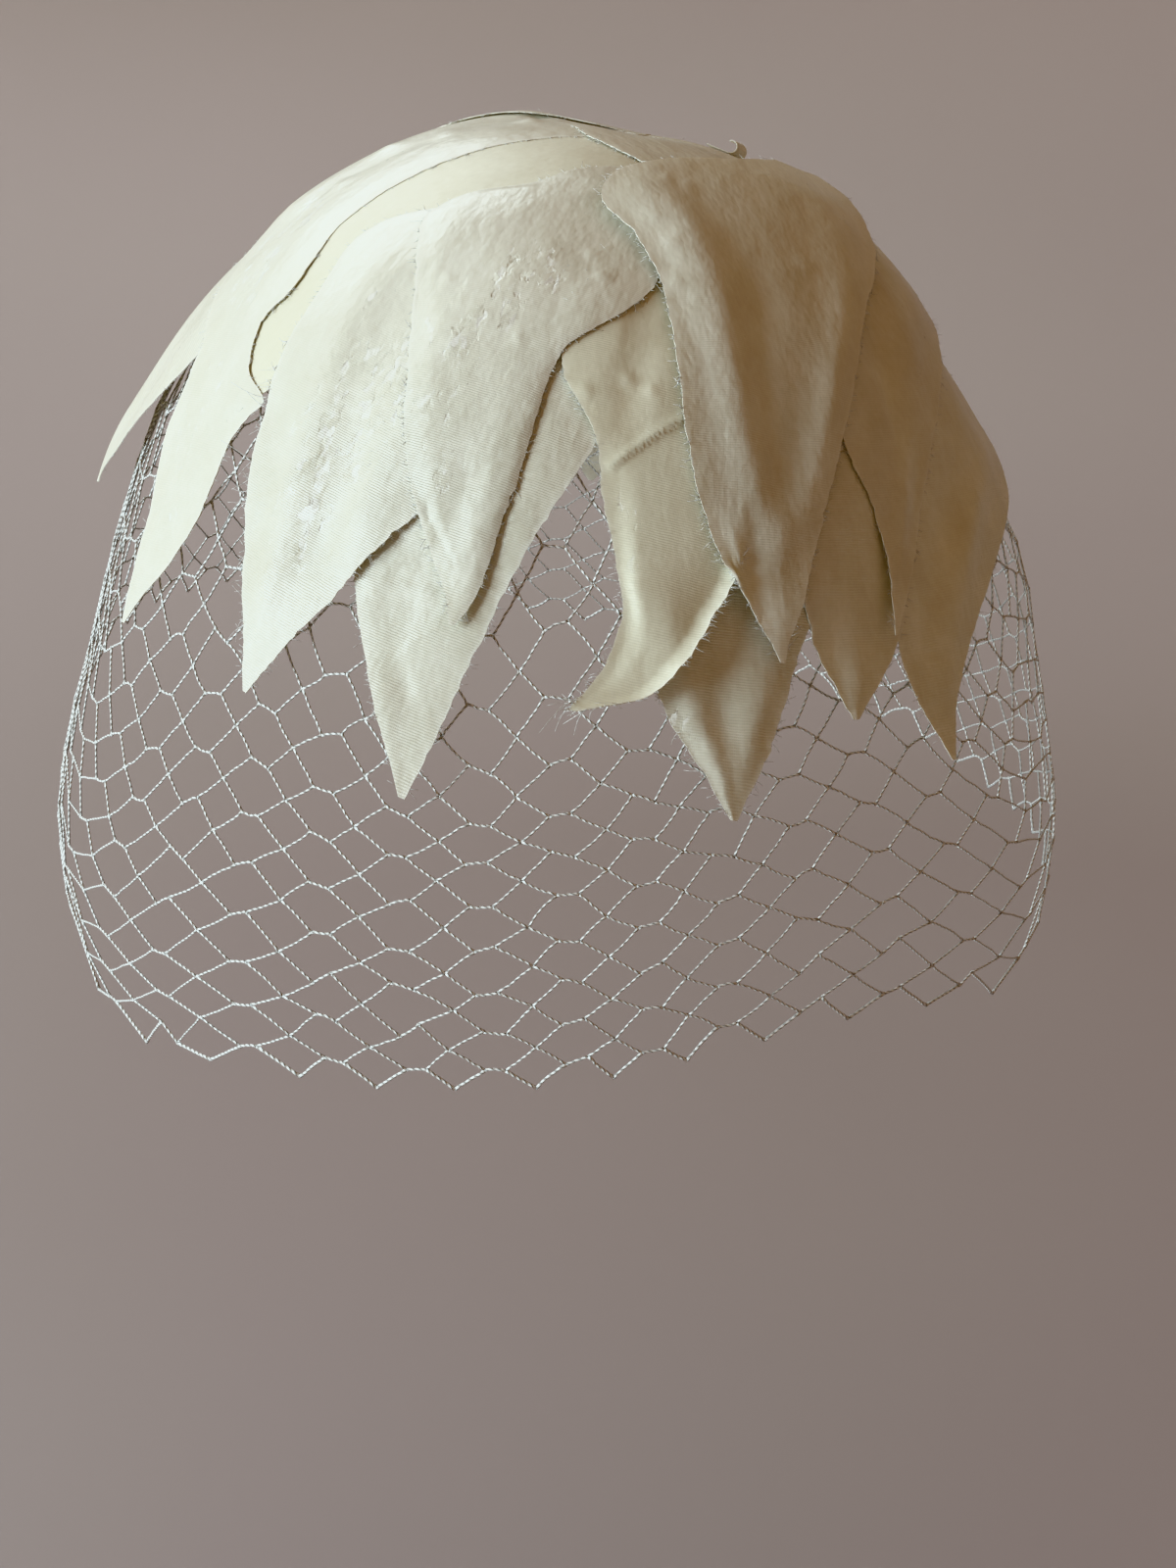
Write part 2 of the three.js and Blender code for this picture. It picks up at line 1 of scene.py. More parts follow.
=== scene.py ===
import bpy
import math
import numpy as np
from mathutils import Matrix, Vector


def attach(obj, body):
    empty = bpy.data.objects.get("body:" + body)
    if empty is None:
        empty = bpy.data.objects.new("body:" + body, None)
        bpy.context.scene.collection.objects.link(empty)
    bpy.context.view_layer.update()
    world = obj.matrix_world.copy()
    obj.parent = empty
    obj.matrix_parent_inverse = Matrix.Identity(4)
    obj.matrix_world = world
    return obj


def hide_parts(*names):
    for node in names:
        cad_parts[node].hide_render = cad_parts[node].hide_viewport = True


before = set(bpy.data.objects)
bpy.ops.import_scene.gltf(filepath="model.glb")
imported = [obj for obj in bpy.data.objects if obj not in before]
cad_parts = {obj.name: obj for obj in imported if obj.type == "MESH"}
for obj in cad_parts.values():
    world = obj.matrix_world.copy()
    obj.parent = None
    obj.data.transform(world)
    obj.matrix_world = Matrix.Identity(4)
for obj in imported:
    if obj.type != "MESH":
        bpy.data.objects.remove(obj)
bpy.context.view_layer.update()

mm = 0.001


# Millimetres, +Z up, the hat faces -Y. A place is an azimuth (0 in front, rising towards +X)
# and a drop (the angle down from straight up), both in degrees from the dome's centre.

dome = {
    "centreZ": -86.0,
    "stretch": 1.06,  # longer front to back than side to side
    "profile": [(0, 87.6), (30, 86.5), (55, 86.5), (70, 87), (80, 88.5), (95, 94.5), (105, 103.5),
                (114, 113.5), (125, 123.5), (135, 132), (150, 140)],  # drop, distance from the centre
    "swell": {"size": 5, "drop": 90, "dropSpread": 13, "azimuth": 100, "azimuthSpread": 35},
}


def readTable(rows, place):
    # a smooth curve through rows of (place, values...): on each span a cubic that starts and ends
    # with the slope from the row before to the row after
    table = np.asarray(rows, float)
    x, y = table[:, 0], table[:, 1:]
    count = len(x)
    index = np.arange(count)
    before, after = np.maximum(index - 1, 0), np.minimum(index + 1, count - 1)
    slope = (y[after] - y[before]) / (x[after] - x[before])[:, None]
    place = np.asarray(place, float)
    i = np.clip(np.searchsorted(x, place) - 1, 0, count - 2)
    span = (x[i + 1] - x[i])
    t = ((place - x[i]) / span)[..., None]
    span = span[..., None]
    value = ((2 * t**3 - 3 * t**2 + 1) * y[i] + (t**3 - 2 * t**2 + t) * slope[i] * span
             + (3 * t**2 - 2 * t**3) * y[i + 1] + (t**3 - t**2) * slope[i + 1] * span)
    return value[..., 0] if value.shape[-1] == 1 else value


def smooth(low, high, value):
    # 0 below low, 1 above high, and 3t^2 - 2t^3 between
    t = np.clip((value - low) / (high - low), 0, 1)
    return t * t * (3 - 2 * t)


def bell(value, middle, spread):
    return np.exp(-((value - middle) / spread) ** 2)


def sample(table, u, v):
    # between the four nearest entries of a table, u and v counted in entries
    i = np.clip(u.astype(int), 0, table.shape[0] - 2)
    j = np.clip(v.astype(int), 0, table.shape[1] - 2)
    s, t = np.clip(u - i, 0, 1), np.clip(v - j, 0, 1)
    return ((1 - s) * (1 - t) * table[i, j] + s * (1 - t) * table[i + 1, j]
            + (1 - s) * t * table[i, j + 1] + s * t * table[i + 1, j + 1])


def unit(vectors):
    return vectors / np.maximum(np.linalg.norm(vectors, axis=-1, keepdims=True), 1e-9)


def directionOf(azimuth, drop):
    azimuth, drop = np.radians(azimuth), np.radians(drop)
    return np.stack(np.broadcast_arrays(np.sin(drop) * np.sin(azimuth), -np.sin(drop) * np.cos(azimuth),
                                        np.cos(drop)), -1)


def placeOf(direction):
    drop = np.degrees(np.arccos(np.clip(direction[..., 2], -1, 1)))
    return np.degrees(np.arctan2(direction[..., 0], -direction[..., 1])), drop


def domePoint(azimuth, drop):
    # centre + radius(drop) * direction, stretched along Y, with a bell-shaped swell at one side
    swell = dome["swell"]
    blown = swell["size"] * bell(drop, swell["drop"], swell["dropSpread"]) * bell(
        azimuth, swell["azimuth"], swell["azimuthSpread"])
    point = directionOf(azimuth, drop) * (readTable(dome["profile"], drop) + blown)[..., None]
    return point * [1, dome["stretch"], 1] + [0, 0, dome["centreZ"]]


def domeNormal(azimuth, drop):
    # the cross product of a small step down the dome and a small step round it
    step = 0.1
    drop = np.maximum(drop, step)
    turn = step / np.maximum(np.sin(np.radians(drop)), step)
    down = domePoint(azimuth, drop + step / 2) - domePoint(azimuth, drop - step / 2)
    around = domePoint(azimuth + turn / 2, drop) - domePoint(azimuth - turn / 2, drop)
    return unit(np.cross(down, around))


def domeOffset(azimuth, drop, height):
    azimuth, drop = np.broadcast_arrays(np.asarray(azimuth, float), np.asarray(drop, float))
    return domePoint(azimuth, drop) + domeNormal(azimuth, drop) * np.asarray(height)[..., None]


def meshFrom(name, points, faces, uv, masks=None):
    # points in mm (n, 3), faces as rows of corners, uv and masks per point
    mesh = bpy.data.meshes.new(name)
    mesh.vertices.add(len(points))
    mesh.vertices.foreach_set("co", (points * mm).astype(np.float32).ravel())
    mesh.loops.add(faces.size)
    mesh.loops.foreach_set("vertex_index", faces.astype(np.int32).ravel())
    mesh.polygons.add(len(faces))
    starts = np.arange(0, faces.size, faces.shape[1], dtype=np.int32)
    mesh.polygons.foreach_set("loop_start", starts)
    mesh.polygons.foreach_set("use_smooth", np.ones(len(faces), dtype=bool))
    cornerUv = uv[faces.ravel()].astype(np.float32)
    mesh.uv_layers.new(name="cloth").data.foreach_set("uv", cornerUv.ravel())
    for mask, values in (masks or {}).items():
        attribute = mesh.attributes.new(mask, "FLOAT", "POINT")
        attribute.data.foreach_set("value", values.astype(np.float32).ravel())
    mesh.update(calc_edges=True)
    mesh.validate()
    piece = bpy.data.objects.new(name, mesh)
    bpy.context.collection.objects.link(piece)
    return piece


def gridFaces(rows, columns, closed=False, looped=False):
    # quads of a grid stored row by row; closed joins its last column to the first, looped its last row
    lastRow, lastColumn = rows if looped else rows - 1, columns if closed else columns - 1
    i, j = np.meshgrid(np.arange(lastRow), np.arange(lastColumn), indexing="ij")
    nextI, nextJ = (i + 1) % rows, (j + 1) % columns
    return np.stack([i * columns + j, nextI * columns + j, nextI * columns + nextJ, i * columns + nextJ],
                    -1).reshape(-1, 4)


def discPiece(name, points, uv, middle, middleUv):
    # rings from the inside out, closed round; quads that meet at the middle point fill the first ring
    rings, columns = points.shape[:2]
    even = np.arange(0, columns, 2)
    fan = np.stack([np.full(len(even), rings * columns), even, even + 1, (even + 2) % columns], -1)
    faces = np.concatenate([gridFaces(rings, columns, closed=True), fan])
    return meshFrom(name, np.concatenate([points.reshape(-1, 3), [middle]]), faces,
                    np.concatenate([uv.reshape(-1, 2), [middleUv]]))


def thicken(piece, thickness, offset=0):
    # an offset of 0 puts the thickness half to each side, and -1 all of it inside
    solid = piece.modifiers.new("thickness", "SOLIDIFY")
    solid.thickness, solid.offset = thickness * mm, offset


def sheetPiece(name, points, uv, masks, thickness):
    # a grid with some thickness; its outline is marked sharp so that the cut edge stays crisp
    rows, columns = points.shape[:2]
    piece = meshFrom(name, points.reshape(-1, 3), gridFaces(rows, columns), uv.reshape(-1, 2), masks)
    ends = np.zeros(2 * len(piece.data.edges), dtype=np.int32)
    piece.data.edges.foreach_get("vertices", ends)
    i, j = np.divmod(ends.reshape(-1, 2), columns)
    sides = ((i, 0), (i, rows - 1), (j, 0), (j, columns - 1))
    outline = np.any([(line == place).all(1) for line, place in sides], 0)
    piece.data.attributes.new("sharp_edge", "BOOLEAN", "EDGE").data.foreach_set("value", outline)
    thicken(piece, thickness)
    return piece


def tubePiece(name, bundles, sides):
    # bundles of (paths, radii, outward): paths (k, n, 3), radii (k, n), outward (k, n, 3). Each ring is the
    # path's point + radius * (cos a * side + sin a * up), and both ends close to their own middle
    allPoints, allFaces, allUv, start = [], [], [], 0
    closing = 0.02  # the end ring's share of the radius
    angle = np.linspace(0, 2 * np.pi, sides, endpoint=False)
    for paths, radii, outward in bundles:
        ends = np.concatenate([paths[:, :1], paths, paths[:, -1:]], 1)
        fat = np.concatenate([radii[:, :1] * closing, radii, radii[:, -1:] * closing], 1)
        out = np.concatenate([outward[:, :1], outward, outward[:, -1:]], 1)
        ahead = np.gradient(paths, axis=1)
        ahead = unit(np.concatenate([ahead[:, :1], ahead, ahead[:, -1:]], 1))
        side = unit(np.cross(ahead, out))
        up = np.cross(side, ahead)
        ring = np.cos(angle)[:, None] * side[:, :, None] + np.sin(angle)[:, None] * up[:, :, None]
        ring = ends[:, :, None] + fat[:, :, None, None] * ring
        count, length = ring.shape[:2]
        faces = gridFaces(length, sides, closed=True)[:, ::-1]
        faces = (faces[None] + (np.arange(count) * length * sides)[:, None, None]).reshape(-1, 4)
        steps = np.linalg.norm(np.diff(ends, axis=1), axis=-1)
        gone = np.concatenate([np.zeros((count, 1)), np.cumsum(steps, 1)], 1)
        uv = np.stack(np.broadcast_arrays(gone[:, :, None], angle / (2 * np.pi)), -1)
        allPoints.append(ring.reshape(-1, 3))
        allFaces.append(faces + start)
        allUv.append(uv.reshape(-1, 2))
        start += count * length * sides
    return meshFrom(name, np.concatenate(allPoints), np.concatenate(allFaces), np.concatenate(allUv))


def feed(tree, made, values):
    # each named or numbered input gets another node's output, or a fixed value
    for key, value in values.items():
        if isinstance(value, bpy.types.NodeSocket):
            tree.links.new(value, made.inputs[key])
        else:
            made.inputs[key].default_value = value


def node(tree, kind, values=None, **settings):
    made = tree.nodes.new(kind)
    for key, value in settings.items():
        setattr(made, key, value)
    feed(tree, made, values or {})
    return made


def calc(tree, operation, *values):
    return node(tree, "ShaderNodeMath", dict(enumerate(values)), operation=operation).outputs[0]


def vectorCalc(tree, operation, *values):
    made = node(tree, "ShaderNodeVectorMath", dict(enumerate(values)), operation=operation)
    return made.outputs["Value" if operation in ("LENGTH", "DOT_PRODUCT") else "Vector"]


def wave(tree, turns):
    # one full wave for each turn
    return calc(tree, "SINE", calc(tree, "MULTIPLY", turns, 2 * math.pi))


def noise(tree, place, scale, detail, roughness=0.5):
    values = {"Vector": place, "Scale": scale, "Detail": detail, "Roughness": roughness}
    return node(tree, "ShaderNodeTexNoise", values).outputs


def stretched(tree, value, low, high, fromLow=0.0, fromHigh=1.0):
    # the value carried from one range to another, and held at its ends
    values = {"Value": value, "From Min": fromLow, "From Max": fromHigh, "To Min": low, "To Max": high}
    return node(tree, "ShaderNodeMapRange", values).outputs["Result"]


def blended(tree, share, first, second):
    values = {"Factor": share, "A": first, "B": second}
    return node(tree, "ShaderNodeMix", values, data_type="RGBA").outputs["Result"]


def bump(tree, height, distance, strength=1.0, normal=None):
    # distance in mm
    values = {"Height": height, "Distance": distance * mm, "Strength": strength}
    if normal is not None:
        values["Normal"] = normal
    return node(tree, "ShaderNodeBump", values).outputs["Normal"]


def newGroup(name, inputs, outputs):
    # an input with no value of its own is a vector, and every other socket is a number
    tree = bpy.data.node_groups.new(name, "ShaderNodeTree")
    for title, value in inputs.items():
        kind = "NodeSocketVector" if value is None else "NodeSocketFloat"
        socket = tree.interface.new_socket(title, in_out="INPUT", socket_type=kind)
        if value is not None:
            socket.default_value = value
    for title in outputs:
        tree.interface.new_socket(title, in_out="OUTPUT", socket_type="NodeSocketFloat")
    return tree, tree.nodes.new("NodeGroupInput").outputs, tree.nodes.new("NodeGroupOutput")


def weaveGroup():
    # ribs across the cloth and finer threads along it: height = ribs + threads, each a sine of the flat
    # cloth's own coordinates, pushed about by a little noise so that no rib is quite straight
    tree, given, put = newGroup("weave", {"Cloth": None, "Rib spacing": 0.4, "Thread spacing": 0.3,
                                          "Thread share": 0.4, "Waver": 0.15}, ["Height", "GrooveShade"])
    unevenness = noise(tree, given["Cloth"], 0.35, 2.0)["Fac"]
    apart = node(tree, "ShaderNodeSeparateXYZ", {0: given["Cloth"]}).outputs
    shift = calc(tree, "MULTIPLY", calc(tree, "SUBTRACT", unevenness, 0.5), given["Waver"])
    ribs, threads = (wave(tree, calc(tree, "DIVIDE", calc(tree, "ADD", apart[way], shift), given[spacing]))
                     for way, spacing in (("Y", "Rib spacing"), ("X", "Thread spacing")))
    both = calc(tree, "ADD", ribs, calc(tree, "MULTIPLY", threads, given["Thread share"]))
    height = calc(tree, "MULTIPLY_ADD", both, 0.35, 0.5)
    # the groove output is 1 - height: the materials paint shade into the weave's grooves with it
    feed(tree, put, {"Height": height, "GrooveShade": calc(tree, "SUBTRACT", 1.0, height)})
    return tree


def cloudGroup():
    # soft unevenness of a handled cloth, in tone and in surface: wide clouds, small flecks, both mixed, and
    # creases that are |noise - 0.5|
    tree, given, put = newGroup("clouds", {"Place": None, "Cloud size": 12.0, "Fleck size": 1.2,
                                           "Fleck share": 0.3, "Crease size": 5.0},
                                ["Fac", "Cloud", "Fleck", "Crease"])
    cloud, fleck, crease = (
        noise(tree, given["Place"], calc(tree, "DIVIDE", 1.0, given[size]), 3.0, 0.55)["Fac"]
        for size in ("Cloud size", "Fleck size", "Crease size"))
    both = node(tree, "ShaderNodeMix", {"Factor": given["Fleck share"], "A": cloud, "B": fleck})
    fold = calc(tree, "ABSOLUTE", calc(tree, "SUBTRACT", crease, 0.5))
    feed(tree, put, {"Fac": both.outputs["Result"], "Cloud": cloud, "Fleck": fleck, "Crease": fold})
    return tree


def crushGroup():
    # small crumples where satin was crushed: the cells of a cracked pattern, each tilted its own way, so that
    # the height is (place - cell's middle) . (cell's own way); only where a cloudy mask lets them through
    tree, given, put = newGroup("crushAndGlint", {"Cloth": None, "Amount": 1.0, "Size": 2.0}, ["Height", "PaintedGlint"])
    bend = noise(tree, given["Cloth"], 0.5, 2.0)["Color"]
    bent = vectorCalc(tree, "MULTIPLY_ADD", bend, (1.6, 1.6, 0), given["Cloth"])
    turned = node(tree, "ShaderNodeMapping",
                  {"Vector": bent, "Rotation": (0, 0, 0.75), "Scale": (1, 0.45, 1)})
    place = turned.outputs[0]
    scale = calc(tree, "DIVIDE", 1.0, given["Size"])
    cells = node(tree, "ShaderNodeTexVoronoi", {"Vector": place, "Scale": scale},
                 voronoi_dimensions="2D").outputs
    reach = vectorCalc(tree, "SUBTRACT", place, cells["Position"])
    way = vectorCalc(tree, "SUBTRACT", cells["Color"], (0.5, 0.5, 0.5))
    tilt = vectorCalc(tree, "DOT_PRODUCT", reach, way)
    patches = noise(tree, place, 0.3, 3.0, 0.7)["Fac"]
    level = calc(tree, "SUBTRACT", 0.82, calc(tree, "MULTIPLY", given["Amount"], 0.34))
    shown = stretched(tree, patches, 0.0, 1.0, level, calc(tree, "ADD", level, 0.1))
    apart = node(tree, "ShaderNodeSeparateXYZ", {0: cells["Color"]}).outputs
    # painted glints: cells picked at random are whitened in the colour where the patch shows, as if their
    # facets caught the light
    paintedGlintCells = calc(tree, "GREATER_THAN", apart["Z"], 0.62)
    feed(tree, put, {"Height": calc(tree, "MULTIPLY", tilt, shown),
                     "PaintedGlint": calc(tree, "MULTIPLY", paintedGlintCells, shown)})
    return tree


groups = {"weave": weaveGroup(), "clouds": cloudGroup(), "crushAndGlint": crushGroup()}


def placeGroup(tree, name, values):
    return node(tree, "ShaderNodeGroup", values, node_tree=groups[name]).outputs


def newMaterial(name):
    material = bpy.data.materials.new(name)
    material.use_nodes = True
    return material, material.node_tree, material.node_tree.nodes["Principled BSDF"]


def clothPlace(tree):
    # the flat cloth's own coordinates, in mm
    return node(tree, "ShaderNodeUVMap", uv_map="cloth").outputs["UV"]


def satinMaterial(name, look):
    # clouds tint it (its own uneven tone, partly a painted mottled sheen), painted shade darkens the grooves
    # of the weave, a painted highlight pales the raw edges, painted glints whiten some crushed facets, and a
    # little light comes through
    material, tree, shader = newMaterial(name)
    cloth = clothPlace(tree)
    edge, crushAndGlintMask, ribbed = (node(tree, "ShaderNodeAttribute", attribute_name=mask).outputs["Fac"]
                             for mask in ("edge", "crushAndGlint", "ribs"))
    streaks = node(tree, "ShaderNodeMapping", {"Vector": cloth, "Scale": (1.0, look["streak"], 1.0)})
    clouds = placeGroup(tree, "clouds", {"Place": streaks.outputs[0], "Cloud size": look["cloudSize"],
                                         "Fleck size": 1.1, "Fleck share": 0.34})
    weave = placeGroup(tree, "weave", {"Cloth": cloth, "Rib spacing": look["ribSpacing"],
                                       "Thread spacing": 0.28, "Thread share": look["threadShare"],
                                       "Waver": 0.35})
    crushAndGlint = placeGroup(tree, "crushAndGlint", {"Cloth": cloth, "Amount": crushAndGlintMask, "Size": look["crushSize"]})
    spread = stretched(tree, clouds["Fac"], 0.0, 1.0, 0.3, 0.7)
    # painted shade: the grooves of the weave are darkened where the ribs show
    grooveShade = calc(tree, "MULTIPLY", calc(tree, "ADD", spread, 0.4), look["grooveShadeShare"])
    grooveShade = calc(tree, "MULTIPLY", weave["GrooveShade"], calc(tree, "MULTIPLY", grooveShade, ribbed))
    # the clouds' darker tint is partly the cloth's own uneven tone and partly a painted mottled sheen
    colour = blended(tree, spread, look["colour"], look["deepColour"])
    colour = blended(tree, grooveShade, colour, look["grooveShadeColour"])
    # painted highlight: the colour pales along the raw edges, standing in for their threads catching the
    # light
    colour = blended(tree, calc(tree, "MULTIPLY", edge, 0.35), colour, look["edgeHighlightColour"])
    # painted glints whiten the colour on some crushed facets
    paintedGlint = calc(tree, "MULTIPLY", crushAndGlint["PaintedGlint"], look["paintedGlintShare"])
    gloss = stretched(tree, clouds["Fleck"], look["roughness"] - 0.07, look["roughness"] + 0.07)
    normal = bump(tree, weave["Height"], 0.09, calc(tree, "MULTIPLY", ribbed, look["ribStrength"]))
    for height, distance in ((crushAndGlint["Height"], "crushHeight"), (clouds["Crease"], "creaseHeight"),
                             (clouds["Cloud"], "softHeight")):
        normal = bump(tree, height, look[distance], normal=normal)
    feed(tree, shader, {
        "Base Color": blended(tree, paintedGlint, colour, look["paintedGlintColour"]), "Normal": normal,
        "Roughness": calc(tree, "MULTIPLY_ADD", edge, 0.3, gloss), "Specular IOR Level": 0.45,
        "Sheen Weight": look["sheen"], "Sheen Roughness": 0.35, "Sheen Tint": (1.0, 0.98, 0.92, 1.0)})
    through = node(tree, "ShaderNodeBsdfTranslucent", {"Color": look["throughColour"], "Normal": normal})
    both = node(tree, "ShaderNodeMixShader",
                {"Fac": look["through"], 1: shader.outputs[0], 2: through.outputs[0]})
    feed(tree, tree.nodes["Material Output"], {"Surface": both.outputs[0]})
    return material


def threadMaterial(name, look):
    # two plies twisted together: height = |sin(turn round the thread + turns along it)|
    material, tree, shader = newMaterial(name)
    apart = node(tree, "ShaderNodeSeparateXYZ", {0: clothPlace(tree)}).outputs
    turns = calc(tree, "ADD", apart["Y"], calc(tree, "DIVIDE", apart["X"], look["twistLength"]))
    plies = calc(tree, "ABSOLUTE", wave(tree, turns))
    objectPlace = node(tree, "ShaderNodeTexCoord").outputs["Object"]
    inMillimetres = vectorCalc(tree, "MULTIPLY", objectPlace, (1000, 1000, 1000))
    clouds = placeGroup(tree, "clouds", {"Place": inMillimetres, "Cloud size": 9.0, "Fleck size": 0.7,
                                         "Fleck share": 0.4})
    tint = blended(tree, clouds["Fac"], look["colour"], look["deepColour"])
    feed(tree, shader, {
        # painted shade darkens the valleys between the twisted plies
        "Base Color": blended(tree, calc(tree, "POWER", plies, 0.8), look["valleyShadeColour"], tint),
        "Roughness": stretched(tree, clouds["Fleck"], look["roughness"] - 0.08, look["roughness"] + 0.08),
        "Normal": bump(tree, plies, 0.12, look["twistStrength"]), "Sheen Weight": 0.15})
    return material


def capMaterial(name, look):
    # a plain woven cloth with as many threads each way
    material, tree, shader = newMaterial(name)
    cloth = clothPlace(tree)
    weave = placeGroup(tree, "weave", {"Cloth": cloth, "Rib spacing": look["threadSpacing"],
                                       "Thread spacing": look["threadSpacing"], "Thread share": 1.0,
                                       "Waver": 0.5})
    clouds = placeGroup(tree, "clouds", {"Place": cloth, "Cloud size": 14.0, "Fleck size": 0.9,
                                         "Fleck share": 0.35})
    tint = blended(tree, clouds["Fac"], look["colour"], look["deepColour"])
    # painted shade: the grooves of the weave are darkened
    grooveShade = calc(tree, "MULTIPLY", weave["GrooveShade"], 0.45)
    feed(tree, shader, {
        "Base Color": blended(tree, grooveShade, tint, look["grooveShadeColour"]),
        "Roughness": stretched(tree, clouds["Fleck"], 0.72, 0.92),
        "Normal": bump(tree, weave["Height"], 0.15, 0.8), "Sheen Weight": 0.2})
    return material


satinLook = {
    # the groove colour is painted shade in the weave's grooves, the edge colour a painted highlight along the
    # raw edges, the glint colour painted glints on crushed facets, and the deep colour partly a painted
    # mottled sheen
    "colour": (0.88, 0.86, 0.74, 1), "deepColour": (0.75, 0.72, 0.59, 1),
    "grooveShadeColour": (0.52, 0.49, 0.37, 1), "edgeHighlightColour": (0.96, 0.95, 0.88, 1),
    "paintedGlintColour": (1.0, 0.99, 0.93, 1), "throughColour": (0.85, 0.76, 0.52, 1),
    "grooveShadeShare": 0.46, "paintedGlintShare": 0.6, "through": 0.2, "roughness": 0.3, "sheen": 0.08,
    "ribSpacing": 0.43, "threadShare": 0.2, "ribStrength": 0.65, "cloudSize": 7.0, "streak": 0.55,
    "crushSize": 1.0, "crushHeight": 0.36, "softHeight": 0.5, "creaseHeight": 0.24,  # mm
}
reverseAndShadeLook = {  # the satin's back: leaf_curling shows it, and leaf_front_far_left wears its darker, yellower colour as painted shade
    **satinLook, "colour": (0.86, 0.83, 0.66, 1), "deepColour": (0.77, 0.73, 0.56, 1), "roughness": 0.5,
    "ribStrength": 0.4, "grooveShadeShare": 0.2, "sheen": 0.2, "softHeight": 0.2, "creaseHeight": 0.15,
}
netLook = {
    "colour": (0.90, 0.89, 0.84, 1), "deepColour": (0.82, 0.81, 0.74, 1),
    # the valley colour is painted shade between the twisted plies
    "valleyShadeColour": (0.22, 0.20, 0.17, 1),
    "twistLength": 2.4, "twistStrength": 1.0, "roughness": 0.42,
}
capLook = {
    "colour": (0.80, 0.78, 0.68, 1), "deepColour": (0.73, 0.70, 0.58, 1),
    # the groove colour is painted shade in the weave's grooves
    "grooveShadeColour": (0.5, 0.47, 0.38, 1), "threadSpacing": 0.8,
}

materials = {
    "satin": satinMaterial("satinFace", satinLook),
    "reverseAndShade": satinMaterial("satinReverseAndShade", reverseAndShadeLook),
    "net": threadMaterial("netThread", netLook),
    "fray": threadMaterial("looseThread", {**netLook, "twistStrength": 0.2, "roughness": 0.5}),
    "cap": capMaterial("capWeave", capLook),
}
print("looks made")


cloth = {
    "scale": 90, "thickness": 0.18, "cell": 1.0,
    "gap": 0.9, "rest": 0.5, "pinch": 0.12,  # over the cap, over the sheet below, at the sewn end
    "settle": 16, "ease": 0.25, "easeRounds": (4, 6),  # rounds of draping, and of softening its steps
    "flareStart": 55, "flareSpan": 45, "flare": 2.5, "flareMost": 1.3, "wave": 0.28,
    "edgeWaver": 0.1, "dimple": 0.16,  # how far the cut edge wanders, and the handled cloth rises and falls
    "mapStep": 0.4, "mapReach": 130,
}

rosette, crownSeam, topSeam = (53, 19), (120, 10), (180, 5)  # where leaves are sewn down: azimuth, drop
